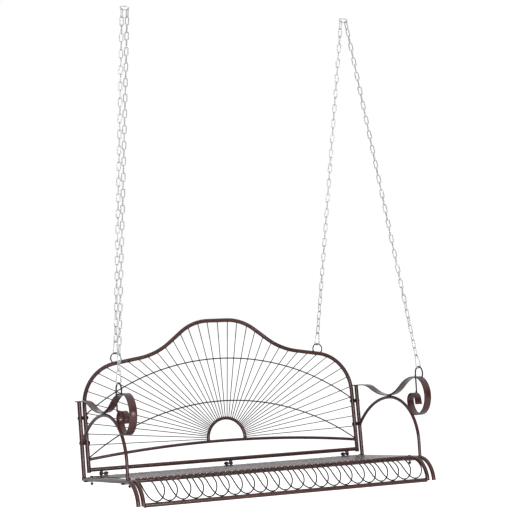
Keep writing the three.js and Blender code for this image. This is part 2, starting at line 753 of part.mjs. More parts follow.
// A strand of links in alternate planes that hangs down -Z, drawn as bars between square crowns.
// The first and last links are open enough for the wire that each holds.
function chainStrand(links, pitch, firstCrownZ, lastCrownZ) {
  const corners = [];
  const quads = [];
  const crownZ = (k) => {
    if (k === 0) return firstCrownZ + barHalf;
    return k === links ? lastCrownZ - barHalf : firstCrownZ - k * pitch;
  };
  const put = (a, b, z, inFirstPlane) => {
    corners.push(inFirstPlane ? new THREE.Vector3(a, b, z) : new THREE.Vector3(-b, a, z));
    return corners.length - 1;
  };
  const crowns = Array.from({ length: links + 1 }, (_, k) => {
    const corner = (a, b, c) => put(a * barHalf, b * barHalf, crownZ(k) + c * barHalf, true);
    return [1, -1].map((c) => [corner(-1, -1, c), corner(1, -1, c), corner(1, 1, c), corner(-1, 1, c)]);
  });
  crowns.forEach(([upper, lower], k) => {
    quads.push(upper, [...lower].reverse());
    if (k > 0 && k < links) return;
    const freeFaces = k === 0 || links % 2 === 1 ? [1, 3] : [0, 2];
    for (const i of freeFaces) quads.push([lower[i], lower[(i + 1) % 4], upper[(i + 1) % 4], upper[i]]);
  });
  for (let k = 1; k <= links; k++) {
    const yPlane = k % 2 === 1;
    const open = k === 1 || k === links;
    const top = crownZ(k - 1);
    const bottom = crownZ(k);
    const levels = open ? [top - linkShoulder, bottom + linkShoulder] : [(top + bottom) / 2];
    for (const face of yPlane ? [0, 2] : [1, 3]) {
      const [i, j] = [face, (face + 1) % 4];
      const reach = face < 2 ? -1 : 1;
      const ring = (z) => [
        put(-barHalf * reach, reach * (linkHalfWidth + barHalf), z, yPlane),
        put(barHalf * reach, reach * (linkHalfWidth + barHalf), z, yPlane),
        put(barHalf * reach, reach * (linkHalfWidth - barHalf), z, yPlane),
        put(-barHalf * reach, reach * (linkHalfWidth - barHalf), z, yPlane),
      ];
      const [upper, lower] = [crowns[k - 1], crowns[k]];
      const first = [upper[0][j], upper[0][i], upper[1][i], upper[1][j]];
      const last = [lower[1][j], lower[1][i], lower[0][i], lower[0][j]];
      const rings = [first, ...levels.map(ring), last];
      for (let n = 1; n < rings.length; n++) {
        for (let m = 0; m < 4; m++) {
          const next = (m + 1) % 4;
          quads.push([rings[n - 1][m], rings[n - 1][next], rings[n][next], rings[n][m]]);
        }
      }
    }
  }
  return closedBody(corners, quads);
}

// A hanging link in the X-Z plane, whose lower wire runs through the origin.
function hangerLink() {
  const bend = linkHalfWidth;
  const straight = linkPitch / 2 + chainWireD / 2 - bend;
  const path = track(-straight, -bend, 0, [
    { run: 2 * straight },
    { turn: 180, radius: bend },
    { run: 2 * straight },
    { turn: 180, radius: bend },
  ]).slice(0, -1);
  const centres = path.map((p) => new THREE.Vector3(p.x, 0, p.y + bend));
  const faceDirections = centres.map(() => new THREE.Vector3(0, 1, 0));
  return wireAlong({ centres, faceDirections, diameter: chainWireD, sides: tubeSides, closed: true });
}

const hookRise = hookInside + hookWireD - hookTopR - hookBottomR;
const hookTaper = Math.asin((hookBottomR - hookTopR) / hookRise);
const hookLeg = hookRise * Math.cos(hookTaper);
const hookTaperDegrees = THREE.MathUtils.radToDeg(hookTaper);

// The snap hook hangs in the X-Z plane with its gate on the -X side and its lower bend centred on the origin.
function snapHookPath() {
  const tangent = new THREE.Vector2(-hookBottomR * Math.cos(hookTaper), hookBottomR * Math.sin(hookTaper));
  const up = new THREE.Vector2(Math.sin(hookTaper), Math.cos(hookTaper));
  const nose = tangent.clone().addScaledVector(up, hookNose);
  const path = track(nose.x, nose.y, -90 - hookTaperDegrees, [
    { run: hookNose },
    { turn: 180 + 2 * hookTaperDegrees, radius: hookBottomR },
    { run: hookLeg },
    { turn: 180 - 2 * hookTaperDegrees, radius: hookTopR },
    { run: hookPivotLeg },
  ]);
  return { nose, path };
}

const hookShape = snapHookPath();

function snapHook() {
  return rod(hookShape.path.map((p) => new THREE.Vector3(p.x, 0, p.y)), hookWireD, wireSides);
}

// The gate stands on its lower end, along its own +Z, and turns about the middle of its round top.
const gateLength = hookLeg - hookNose - hookPivotLeg - 2 * gap;

function snapGate() {
  const r = gateD / 2;
  const profile = [
    [0, 0],
    [r, 0],
    [r, gateLength - r],
    [r * Math.SQRT1_2, gateLength - r * (1 - Math.SQRT1_2)],
    [0, gateLength],
  ];
  const points = profile.map(([radius, height]) => new THREE.Vector2(radius, height));
  return new THREE.LatheGeometry(points, tubeSides).rotateX(Math.PI / 2);
}

// The bench's own frame, lifted at the front and hung so that the swing axis runs through the origin

const backPoint = (x, s) => new THREE.Vector3(x, 0, s).applyAxisAngle(axisX, -degrees(backLeanAngle));
const ringPoint = (side) => backPoint(side * chainRingX, chainRingS + chainRingR);
const eyePoint = (side) => inArm(new THREE.Vector2(eyeCentre.x, eyeCentre.y + eyeR), side * (armX + eyeX));

const strands = {
  rear: {
    links: rearLinks,
    offset: -1,
    anchor: ringPoint,
    hookAngle: rearHookAngle,
    linkPlay: rearLinkPlay,
    anchorWireD: ringWireD,
    anchorPlay: hookRingPlay,
  },
  front: {
    links: frontLinks,
    offset: 1,
    anchor: eyePoint,
    hookAngle: frontHookAngle,
    linkPlay: frontLinkPlay,
    anchorWireD: eyeWireD,
    anchorPlay: hookEyePlay,
  },
};
const firstCrownZ = chainWireD / 2 + hangerPlay;
const hookDrop = (strandSizes) => {
  const { linkPlay, anchorPlay, anchorWireD } = strandSizes;
  return hookInside - linkPlay - anchorPlay - anchorWireD / 2;
};
const strandX = (side, offset) => side * hangerHalfSpan + offset * strandOffset;

// The swing axis in the bench's frame, where the mean strands from the ring and from the eye meet.
function hangingPoint() {
  const reach = ({ links, anchor, offset, ...hook }) => {
    const length = links * linkPitch - firstCrownZ + hookDrop(hook);
    const spans = Object.values(sides).map((side) => strandX(side, offset) - anchor(side).x);
    return Math.sqrt(length ** 2 - (spans[0] ** 2 + spans[1] ** 2) / 2);
  };
  const rear = ringPoint(1);
  const front = eyePoint(1);
  const between = new THREE.Vector2(rear.y - front.y, rear.z - front.z);
  const distance = between.length();
  const [rearReach, frontReach] = [reach(strands.rear), reach(strands.front)];
  const along = (frontReach ** 2 - rearReach ** 2 + distance ** 2) / (2 * distance);
  const away = Math.sqrt(frontReach ** 2 - along ** 2);
  const ahead = between.divideScalar(distance);
  const y = front.y + along * ahead.x - away * ahead.y;
  const z = front.z + along * ahead.y + away * ahead.x;
  return new THREE.Vector3(0, y, z);
}

const hangPoint = hangingPoint();
const toSwing = (point) => point.clone().sub(hangPoint).applyAxisAngle(axisX, -degrees(hangAngle));

function strand(name, side, sideName) {
  const { links, anchor, offset, hookAngle, linkPlay } = strands[name];
  const top = new THREE.Vector3(strandX(side, offset), 0, 0);
  const end = toSwing(anchor(side));
  const length = top.distanceTo(end);
  const up = top.clone().sub(end).normalize();
  const across = axisX.clone().addScaledVector(up, -up.x).normalize();
  const group = new THREE.Group();
  group.position.copy(top);
  group.quaternion.setFromRotationMatrix(new THREE.Matrix4().makeBasis(across, up.clone().cross(across), up));
  const lastCrownZ = hookDrop(strands[name]) - length;
  const pitch = (firstCrownZ - lastCrownZ) / links;
  const chain = piece(`chain_${name}_${sideName}`, chainStrand(links, pitch, firstCrownZ, lastCrownZ), zinc);
  chain.rotation.z = degrees(strandAngle);
  const hanging = new THREE.Group();
  hanging.position.z = lastCrownZ + linkPlay - hookInside + hookBottomR - hookWireD / 2;
  hanging.rotation.z = degrees(hookAngle);
  hanging.add(piece(`snap_hook_${name}_${sideName}`, snapHook(), zinc));
  const gate = piece(`snap_gate_${name}_${sideName}`, snapGate(), zinc);
  const legUp = new THREE.Vector2(Math.sin(hookTaper), Math.cos(hookTaper));
  const foot = hookShape.nose.clone().addScaledVector(legUp, gap);
  gate.position.set(foot.x, 0, foot.y);
  gate.rotation.y = hookTaper;
  hanging.add(gate);
  group.add(chain, hanging);
  return group;
}

const swing = new THREE.Group();
const bench = new THREE.Group();
bench.rotation.x = -degrees(hangAngle);
bench.position.copy(toSwing(new THREE.Vector3()));
bench.add(backrest(), clips(), seat());
for (const [sideName, side] of Object.entries(sides)) {
  bench.add(arm(sideName, side));
  const hanger = piece(`hanger_link_${sideName}`, hangerLink(), zinc);
  hanger.position.x = side * hangerHalfSpan;
  swing.add(hanger, strand('rear', side, sideName), strand('front', side, sideName));
}
swing.add(bench);

export default swing;
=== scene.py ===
# Looks of the garden swing bench: painted tubes, wires, slats, chains and hooks around the CAD frame.
# Metres, +Z up, the front faces -Y; the origin is midway between the two hanging links.
import json
from math import acos, asin, atan2, ceil, copysign, cos, degrees, pi, radians, sin, sqrt, tan
import random

import bpy
from mathutils import Matrix, Vector

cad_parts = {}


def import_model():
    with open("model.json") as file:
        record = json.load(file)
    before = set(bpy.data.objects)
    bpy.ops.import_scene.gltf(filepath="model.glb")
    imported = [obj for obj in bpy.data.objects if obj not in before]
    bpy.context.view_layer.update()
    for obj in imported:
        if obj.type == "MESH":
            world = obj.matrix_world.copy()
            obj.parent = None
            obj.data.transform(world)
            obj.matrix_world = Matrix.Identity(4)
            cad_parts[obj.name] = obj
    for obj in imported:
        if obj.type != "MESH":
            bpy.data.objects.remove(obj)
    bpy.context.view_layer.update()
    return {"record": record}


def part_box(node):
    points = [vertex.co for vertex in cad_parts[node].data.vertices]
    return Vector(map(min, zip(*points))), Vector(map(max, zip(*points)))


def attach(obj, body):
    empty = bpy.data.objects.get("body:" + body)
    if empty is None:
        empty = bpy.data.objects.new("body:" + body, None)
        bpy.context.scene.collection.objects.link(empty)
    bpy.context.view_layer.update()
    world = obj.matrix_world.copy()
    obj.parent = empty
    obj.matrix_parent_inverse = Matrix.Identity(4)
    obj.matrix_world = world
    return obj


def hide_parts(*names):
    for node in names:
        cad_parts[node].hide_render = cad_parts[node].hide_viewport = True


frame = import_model()
chance = random.Random(7)

# Steel sections
TUBE_R = 0.008
ARCH_R = 0.00635
RAIL_R = 0.006
ARC_WIRE_R = 0.0025
RAY_WIRE_R = 0.0017
LOOP_WIRE_R = 0.0026
RING_WIRE_R = 0.0025
EYE_WIRE_R = 0.003
CHAIN_WIRE_R = 0.002
HOOK_WIRE_R = 0.0025
STRIP_T = 0.0045
PLATE_T = 0.003
GAP = 0.0003
EDGE_R = 0.0006

# Flats round each section
TUBE_SIDES = 24
RAIL_SIDES = 20
WIRE_SIDES = 16
ARC_WIRE_SIDES = 12
THIN_WIRE_SIDES = 10
LINK_SIDES = 10
WASHER_SIDES = 28
RIVET_SIDES = 16
GATE_SIDES = 18

# Welds
BEAD_R = 0.0013
THIN_BEAD_R = 0.9 * BEAD_R
CLIP_BEAD_R = 0.8 * BEAD_R
BEAD_SIDES = 7
BEAD_RIPPLE = 0.16
BEAD_RIPPLE_STEP = 2.4
BEAD_UNEVEN = 0.12
RING_BEAD_POINTS = 26
STRAIGHT_BEAD_POINTS = 9
WELD_WRAP = 0.97  # the share of a main tube's radius that a weld reaches out to
WIRE_SINK = 0.0003  # how far crossing wires sink into each other
RAY_END_WELD = 1.6  # spots of weld, as multiples of their wire's radius
RAY_WELD = 1.5
LOOP_END_WELD = 1.35
LOOP_WELD = 1.3

# Backrest, in its own plane
BACK_LEAN = radians(3.65)
BACK_HALF_WIDTH = 0.598
BACK_FOOT_S = 0.022
BACK_SIDE_TOP_S = 0.279
SHOULDER_R = 0.165
SHOULDER_TURN = 81.4
DIP_R = 0.295
DIP_TURN = 28.5
CROWN_RUN = 0.070
CROWN_R = 0.201
CROWN_FLAT_HALF = 0.042
BOTTOM_RAIL_S = 0.03375
ARCHED_RAIL_END_S = 0.074
ARCHED_RAIL_RISE = 0.035
SUN_R = 0.0815
SUN_WELD_R = 1.01 * ARCH_R  # the ring is thicker than its rail, so its welds follow a wider tube
SUN_S = 0.117
# Where the rays meet the inner edge of the frame tube, as shares of its length from the crown to the foot
RAY_SHARES = (
    0, 0.047, 0.09, 0.138, 0.182, 0.226, 0.271, 0.313, 0.357, 0.4, 0.447,
    0.493, 0.544, 0.588, 0.63, 0.676, 0.72, 0.764, 0.804, 0.846, 0.89,
)
OUTER_ARC_END_S = 0.251
OUTER_ARC_RISE = 0.191
INNER_ARC_END_S = 0.082
INNER_ARC_RISE = 0.187
CROSS_ARC_STEPS = 72
CHAIN_RING_R = 0.021
CHAIN_RING_X = BACK_HALF_WIDTH - 0.145
CHAIN_RING_RISE = 0.0195
CHAIN_RING_SWEEP = 270
CHAIN_RING_STEPS = 54
RING_END_STEPS = 4  # how far in the direction of a ring's end is taken
SLOPE_REACH = 0.01  # how far to each side the frame's slope is taken

# Arms
SPACER_LENGTH = 0.006
ARM_X = BACK_HALF_WIDTH + 2 * TUBE_R + SPACER_LENGTH
POST_LEAN = radians(2.9)
POST_TOP_Z = 0.297
ARCH_TOP_Z = 0.243
ARCH_FRONT_R = 0.230
ARCH_FRONT_TURN = 35
ARCH_KNEE_R = 0.171
ARCH_REAR_TURN = 47
WATERFALL_START_U = 0.456
WATERFALL_R = 0.090
WATERFALL_TURN = 88
ARCH_WELD_HALF = 0.012
ARCH_WELD_X = 0.0028
ARCH_WELD_RISE = 0.92 * ARCH_R
STRIP_WIDTH = 0.030
STRIP_EDGE_R = 0.0009
STRIP_REAR_U = -0.024
HUMP_R = 0.147
HUMP_TURN = 24
VALLEY_REAR_R = 0.277
VALLEY_FRONT_R = 0.179
CLIMB_TURN = 31
CLIMB_RUN = 0.030
CREST_R = 0.177
CREST_RUN = 0.008
SCROLL_R = 0.0745
SCROLL_HEEL_R = 0.056
CURL_R = 0.029
CURL_TAIL_R = 0.030
CURL_TAIL_TURN = 30
EYE_R = 0.0265
EYE_RISE = 0.013
EYE_SWEEP = 220
EYE_WELD_HALF = 0.006
EYE_WELD_OFFSET = 0.0022
EYE_FOOT_WELD_RISE = 0.004

# Seat
SEAT_BAR_X = ARM_X - 2 * TUBE_R - 0.007
SEAT_BAR_START_U = 0.448
FRONT_RAIL_U = 0.440
SLAT_COUNT = 45
SLAT_PITCH = 2 * (SEAT_BAR_X - TUBE_R - GAP) / SLAT_COUNT
SLAT_WIDTH = 0.018
SLAT_T = 0.002
SLAT_LIP = 0.005
SLAT_BEND_R = 0.003
SLAT_FRONT_TURN = 62
SLAT_EDGE_R = 0.0006
CROSS_BAR_U = 0.225
CROSS_BAR_WIDTH = 0.020
APRON_RAIL_U = 0.534
APRON_RAIL_Z = -0.084
LOOP_COUNT = 22
LOOP_PITCH = 2 * (SEAT_BAR_X - 0.052) / (LOOP_COUNT - 1)
LOOP_HALF_WIDTH = 0.041
LOOP_START = 0.9 * TUBE_R  # past the front rail's centre line
LOOP_LEG_STEPS = 10
LOOP_BEND_STEPS = 28

# Fasteners
BOLT_R = 0.003
HEAD_R = 0.0065
HEAD_H = 0.004
HEAD_TOP_R = 0.9 * HEAD_R
HEAD_CHAMFER = 0.0006
DOME_SHARES = ((1, 0), (0.8, 0.7), (0.4, 1))  # of a low head's radius and height
NUT_CHAMFER = 0.00012
WASHER_R = HEAD_R + 0.0006
WASHER_T = 0.0009
THREAD_PITCH = 0.001
THREAD_SHARES = ((0.86, 0.2), (1, 0.6))  # root and crest, of the bolt's radius and of the pitch
THREAD_TIP_R = 0.8 * BOLT_R
THREAD_END_R = 0.9 * BOLT_R
THREAD_SINK = 0.0002
NUT_H = 0.005
BOLT_TAIL = 0.004
SEAT_NUT_DROP = 0.005
SIDE_HEAD_H = 0.0012
SIDE_NUT_H = 0.003
SIDE_BOLT_TAIL = 0.001
SPACER_R = 0.0075
SPACER_EDGE = 0.0004
CLIP_X = SEAT_BAR_X - 0.058
CLIP_Y = 0.002
CLIP_BOLT_Z = 0.0166
CLIP_TAB_WIDTH = 0.018
CLIP_TAB_T = 0.007
CLIP_TAB_OFFSET = 0.0085
CLIP_TAB_END = 0.007
CLIP_TAB_STEPS = 12
CLIP_WELD_SINK = 0.001
CLIP_BEAD_INSET = 0.0008
CLIP_BEAD_POINTS = 11
SIDE_BOLT_ZS = {"upper": 0.235, "lower": 0.138}
SEAT_BOLT_US = {"rear": 0.021, "front": 0.414}
ARM_TAB_LENGTH = 0.020
ARM_TAB_INSIDE = 0.010
ARM_TAB_WELD_HALF = 0.0064
ARM_TAB_WELD_OFFSET = -0.0001
PLATE_EDGE_SHARE = 0.12
PLATE_EDGE_SHRINK = 0.94

# Chains and snap hooks
LINK_HALF_WIDTH = 0.0065
LINK_END_STEPS = 9
LINK_SEAM_SHARE = 0.12
LINK_SEAM_SWELL = 1.14
HANGER_X = 0.479
STRAND_OFFSET = 0.011
HOOK_INSIDE = 0.050
HOOK_TOP_R = 0.0057
HOOK_BOTTOM_R = 0.010
HOOK_NOSE = 0.003
HOOK_PIVOT_LEG = 0.004
HOOK_END_EDGE = 0.0012
RIVET_R = 0.0013
RIVET_CROWN_R = 0.0009
RIVET_RISE = 0.0004
GATE_R = 0.00225
GATE_FOOT_R = 0.92 * GATE_R
GATE_FOOT_EDGE = 0.0003
GATE_WAIST_R = 0.86 * GATE_R
GATE_WAIST_EDGE = 0.0004
GATE_COLLAR = 0.005
GATE_HEAD = 2 * GATE_R
GATE_HEAD_SLOPE = 0.4 * GATE_R
GATE_DOME_TURNS = (0, 0.4, 0.8, 1.2, 1.5)
STRANDS = {
    "rear": {"links": 42, "offset": -1, "hook_turn": -53, "anchor_play": 0.0022},
    "front": {"links": 45, "offset": 1, "hook_turn": 0, "anchor_play": 0.0018},
}
# Degrees that links turn about their strand: along most of it, at both ends, and unevenly from link to link
FACING_TWIST = -24
END_TWIST = 9
TWIST_JITTER = 4
# How many links take up the change at the lower and at the upper end
TWIST_LINKS = 12
TOP_TWIST_LINKS = 3

X = Vector((1, 0, 0))
Y = Vector((0, 1, 0))
Z = Vector((0, 0, 1))
SIDES = {"left": -1, "right": 1}


def placed(place, angle, axis):
    """The matrix that turns about an axis and then moves to a place."""
    return Matrix.Translation(place) @ Matrix.Rotation(angle, 4, axis)


# The bench's own frame: its origin is the middle of the seat's rear rail, and the seat is level in it
seat_up = Vector(next(m["axis"] for m in frame["record"]["mounts"] if m["name"] == "seat_face"))
hang_tilt = atan2(seat_up.y, seat_up.z)
low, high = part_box("seat_rear_rail")
BENCH = placed((low + high) / 2, -hang_tilt, "X")
BACK = BENCH @ Matrix.Rotation(-BACK_LEAN, 4, "X")


def add_object(name, data):
    made = bpy.data.objects.new(name, data)
    bpy.context.scene.collection.objects.link(made)
    return made


# Camera

PHOTO_TILT = radians(7.65)
CAMERA_PLACE = Vector((-2.7607, -5.8011, 1.0744))
CAMERA_YAW = radians(26.412)
CAMERA_PITCH = radians(-1.976)
FOCAL_PIXELS = 1600.86
PHOTO_PIXELS = 512
SENSOR_MM = 36
CAMERA_REACH = 60


def add_camera():
    """The photograph's camera, solved in a frame where the bench is tilted back by PHOTO_TILT."""
    data = bpy.data.cameras.new("camera")
    data.sensor_fit = "HORIZONTAL"
    data.sensor_width = SENSOR_MM
    data.lens = FOCAL_PIXELS / PHOTO_PIXELS * SENSOR_MM
    data.clip_end = CAMERA_REACH
    camera = add_object("camera", data)
    right = Vector((cos(CAMERA_YAW), -sin(CAMERA_YAW), 0))
    flat = cos(CAMERA_PITCH)
    look = Vector((sin(CAMERA_YAW) * flat, cos(CAMERA_YAW) * flat, sin(CAMERA_PITCH)))
    view = Matrix.Translation(CAMERA_PLACE) @ Matrix((right, right.cross(look), -look)).transposed().to_4x4()
    camera.matrix_world = BENCH @ Matrix.Rotation(PHOTO_TILT, 4, "X") @ view
    bpy.context.scene.camera = camera


add_camera()


# Shapes

FACET = 4.0  # degrees of bend to each flat
TIGHT_FACET = 9.0
TIGHT_R = 0.035
POINT_R = 1e-6  # a turned shape's radius where it ends on its axis
EDGE_TURNS = (0, 30, 60, 90)
BLOB_TURNS = (-75, -35, 0, 35, 75)
BLOB_SIDES = 8
BEAD_SIDE = Vector((0.3, 0.5, 0.81))  # a direction that no weld runs along
SHARP_DEGREES = 42


def track(start, heading, moves):
    """A plane path of straight runs, ("run", length), and tangent arcs, ("turn", degrees left, radius)."""
    points = [Vector(start)]
    angle = radians(heading)
    for kind, amount, *radius in moves:
        here = points[-1]
        if kind == "run":
            points.append(here + Vector((cos(angle), sin(angle))) * amount)
            continue
        side = copysign(radius[0], amount)
        centre = here + Vector((-sin(angle), cos(angle))) * side
        steps = ceil(abs(amount) / (TIGHT_FACET if radius[0] < TIGHT_R else FACET))
        for i in range(1, steps + 1):
            at = angle + radians(amount) * i / steps
            points.append(centre + Vector((sin(at), -cos(at))) * side)
        angle += radians(amount)
    return points


def arc_points(radius, start, sweep, steps):
    """Points round the origin, from one angle over a sweep, in degrees."""
    turns = [radians(start + sweep * i / steps) for i in range(steps + 1)]
    return [Vector((cos(a), sin(a))) * radius for a in turns]


def circle(radius, sides):
    return arc_points(radius, 0, 360, sides)[:-1]


def upright(p, y=0.0):
    """Puts a point of an upright plane, (x, z), into space."""
    return Vector((p.x, y, p.y))


def span(half, y, z):
    """A straight path across the bench."""
    return [Vector((-half, y, z)), Vector((half, y, z))]


def rounded_bar(width, thickness, radius, steps=3):
    """The section of a flat bar, width along x and thickness along y, with rounded edges."""
    points = []
    for quarter, (sx, sy) in enumerate(((1, 1), (-1, 1), (-1, -1), (1, -1))):
        corner = Vector((sx * (width / 2 - radius), sy * (thickness / 2 - radius)))
        points += [corner + p for p in arc_points(radius, 90 * quarter, 90, steps)]
    return points


class Shell:
    """The points and faces of a piece in the making."""

    def __init__(self):
        self.points = []
        self.faces = []

    def add_rings(self, rings, closed=False):
        """Skins rings of equal length, and caps both ends of an open skin."""
        first = len(self.points)
        size = len(rings[0])
        count = len(rings)
        for ring in rings:
            self.points.extend(ring)
        for i in range(count if closed else count - 1):
            a = first + i * size
            b = first + (i + 1) % count * size
            for j in range(size):
                k = (j + 1) % size
                self.faces.append((a + j, a + k, b + k, b + j))
        if not closed:
            self.faces.append(tuple(reversed(range(first, first + size))))
            self.faces.append(tuple(range(first + (count - 1) * size, first + count * size)))

    def sweep(self, path, section, side=Y, closed=False, edge=0.0, scales=None):
        """A section carried along a path, its x kept near the side direction, with rounded open ends."""
        scales = scales or [1.0] * len(path)
        if edge and not closed:
            path, scales = rounded_ends(path, scales, edge, max(p.length for p in section))
        count = len(path)
        rings = []
        across = side
        for i, point in enumerate(path):
            ahead = path[(i + 1) % count] - point if closed or i < count - 1 else Vector()
            behind = point - path[i - 1] if closed or i > 0 else Vector()
            along = (ahead.normalized() + behind.normalized()).normalized()
            across = (across - along * across.dot(along)).normalized()
            other = along.cross(across)
            rings.append([point + (across * p.x + other * p.y) * scales[i] for p in section])
        self.add_rings(rings, closed)

    def tube(self, path, radius, sides, **options):
        self.sweep(path, circle(radius, sides), **options)

    def lathe(self, profile, place, sides):
        """A solid turned about its own +Z from (radius, height) pairs, put in place by a matrix."""
        rings = []
        for radius, height in profile:
            ring = circle(max(radius, POINT_R), sides)
            rings.append([place @ Vector((p.x, p.y, height)) for p in ring])
        self.add_rings(rings)

    def blob(self, centre, size):
        """A small rounded spot of weld."""
        profile = [(size * cos(radians(a)), size * sin(radians(a))) for a in BLOB_TURNS]
        self.lathe(profile, Matrix.Translation(centre), BLOB_SIDES)


def rounded_ends(path, scales, edge, reach):
    """Adds points and scales that round off both ends of a swept path."""
    def end_points(end, inner):
        away = (end - inner).normalized()
        turns = [radians(a) for a in EDGE_TURNS]
        return [(end - away * (edge * (1 - sin(a))), 1 - edge / reach * (1 - cos(a))) for a in turns]

    head = [(p, s * scales[0]) for p, s in reversed(end_points(path[0], path[1]))]
    tail = [(p, s * scales[-1]) for p, s in end_points(path[-1], path[-2])]
    points = head + list(zip(path, scales))[1:-1] + tail
    return [p for p, _ in points], [s for _, s in points]


def bead(shell, path, radius=BEAD_R, closed=False):
    """A weld bead with the ripple that a run of weld leaves."""
    scales = []
    for i in range(len(path)):
        uneven = BEAD_UNEVEN * (chance.random() - 0.5)
        scales.append(1 + BEAD_RIPPLE * sin(i * BEAD_RIPPLE_STEP) + uneven)
    shell.tube(path, radius, BEAD_SIDES, closed=closed, scales=scales, side=BEAD_SIDE)


def straight_weld(shell, centre, half, radius=BEAD_R, points=STRAIGHT_BEAD_POINTS):
    """A weld bead to both sides of its centre, as far as the vector half."""
    bead(shell, [centre + half * (2 * i / (points - 1) - 1) for i in range(points)], radius)


def joint_weld(shell, centre, branch, branch_r, main, main_r, radius=BEAD_R):
    """A weld bead where a branch tube that leaves a main tube's centre line at a point meets its surface."""
    branch = branch.normalized()
    main = main.normalized()
    a = (main - branch * main.dot(branch)).normalized()
    b = branch.cross(a)
    w = (branch - main * branch.dot(main)).normalized()
    path = []
    reach = WELD_WRAP * main_r
    for i in range(RING_BEAD_POINTS):
        t = 2 * pi * i / RING_BEAD_POINTS
        off = max(-reach, min(reach, branch_r * sin(t)))
        h = (sqrt(main_r**2 - off**2) - branch_r * cos(t) * a.dot(w)) / branch.dot(w)
        path.append(centre + branch * h + a * branch_r * cos(t) + b * off)
    bead(shell, path, radius, closed=True)


def piece(name, shell, look, node, body="bench", place=BENCH):
    """Makes a shell into an object that stands for a CAD node and rides on its body."""
    mesh = bpy.data.meshes.new(name)
    mesh.from_pydata([place @ p for p in shell.points], [], shell.faces)
    mesh.validate()
    mesh.shade_smooth()
    mesh.set_sharp_from_angle(angle=radians(SHARP_DEGREES))
    made = add_object(name, mesh)
    material, slot = look
    mesh.materials.append(material)
    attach(made, body)
    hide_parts(node)


# Materials

PATCH_SCALE = 9
GRAIN_SCALE = 420
PEEL_SCALE = 900
PEEL_DEPTH = 0.0003
FLECK_SHARE = 0.16
FLECK_START = 0.52
FLECK_FULL = 0.75
FLECK_GAIN = 1.5
FLECK_LIFT = 0.01
PAINT_GLOSSIER = 0.04
PAINT_DULLER = 0.06
CLOUD_SCALE = 60
CLOUD_DEPTH = 0.0005
FINE_SCALE = 700
FINE_DEPTH = 0.0002
ZINC_GLOSSIER = 0.07
ZINC_DULLER = 0.1
BUMP_STRENGTH = 0.12


def map_range(tree, value, bottom, top, low, high):
    """A node that maps a value from bottom..top to low..high."""
    node = tree.nodes.new("ShaderNodeMapRange")
    for socket, number in (("From Min", bottom), ("From Max", top), ("To Min", low), ("To Max", high)):
        node.inputs[socket].default_value = number
    tree.links.new(value, node.inputs["Value"])
    return node


class Surface:
    """A node material with one Principled shader and short ways to feed it."""

    def __init__(self, name, metallic, specular=0.5):
        self.material = bpy.data.materials.new(name)
        self.material.use_nodes = True
        self.tree = self.material.node_tree
        self.shader = self.tree.nodes["Principled BSDF"]
        self.shader.inputs["Metallic"].default_value = metallic
        self.shader.inputs["Specular IOR Level"].default_value = specular
        self.coordinates = self.tree.nodes.new("ShaderNodeTexCoord").outputs["Object"]

    def noise(self, scale, detail):
        node = self.tree.nodes.new("ShaderNodeTexNoise")
        node.inputs["Scale"].default_value = scale
        node.inputs["Detail"].default_value = detail
        self.tree.links.new(self.coordinates, node.inputs["Vector"])
        return node.outputs["Fac"]

    def spread(self, value, low, high, bottom=0.3, top=0.7):
        return map_range(self.tree, value, bottom, top, low, high).outputs["Result"]

    def mix(self, factor, first, second):
        node = self.tree.nodes.new("ShaderNodeMix")
        node.data_type = "RGBA"
        self.tree.links.new(factor, node.inputs["Factor"])
        for socket, value in ((node.inputs["A"], first), (node.inputs["B"], second)):
            if isinstance(value, tuple):
                socket.default_value = (*value, 1)
            else:
                self.tree.links.new(value, socket)
        return node.outputs["Result"]

    def feed(self, name, value):
        self.tree.links.new(value, self.shader.inputs[name])

    def bump(self, heights):
        """Chains bumps, each a (height, distance, strength)."""
        normal = None
        for height, distance, strength in heights:
            node = self.tree.nodes.new("ShaderNodeBump")
            node.inputs["Distance"].default_value = distance
            node.inputs["Strength"].default_value = strength
            self.tree.links.new(height, node.inputs["Height"])
            if normal:
                self.tree.links.new(normal, node.inputs["Normal"])
            normal = node.outputs["Normal"]
        self.feed("Normal", normal)


def painted(name, dark, light, rough, specular=0.5):
    """Powder coat over steel: two close tones in patches, pale flecks and an orange-peel skin."""
    surface = Surface(name, metallic=0.0, specular=specular)
    patches = surface.noise(PATCH_SCALE, detail=4)
    grain = surface.noise(GRAIN_SCALE, detail=2)
    peel = surface.noise(PEEL_SCALE, detail=1)
    tone = surface.mix(surface.spread(patches, 0, 1), dark, light)
    fleck = surface.spread(grain, 0, FLECK_SHARE, bottom=FLECK_START, top=FLECK_FULL)
    pale = tuple(FLECK_GAIN * c + FLECK_LIFT for c in light)
    surface.feed("Base Color", surface.mix(fleck, tone, pale))
    surface.feed("Roughness", surface.spread(patches, rough - PAINT_GLOSSIER, rough + PAINT_DULLER))
    surface.bump([(peel, PEEL_DEPTH, BUMP_STRENGTH)])
    return surface.material


def zinc_plated(name, dark, light, rough):
    """Bright zinc with a faint blue cast, cloudy patches and a fine uneven grain."""
    surface = Surface(name, metallic=0.7)
    cloud = surface.noise(CLOUD_SCALE, detail=4)
    fine = surface.noise(FINE_SCALE, detail=3)
    tone = surface.mix(surface.spread(cloud, 0, 1), dark, light)
    surface.feed("Base Color", tone)
    surface.feed("Roughness", surface.spread(fine, rough - ZINC_GLOSSIER, rough + ZINC_DULLER))
    surface.bump([(cloud, CLOUD_DEPTH, BUMP_STRENGTH), (fine, FINE_DEPTH, BUMP_STRENGTH)])
    return surface.material


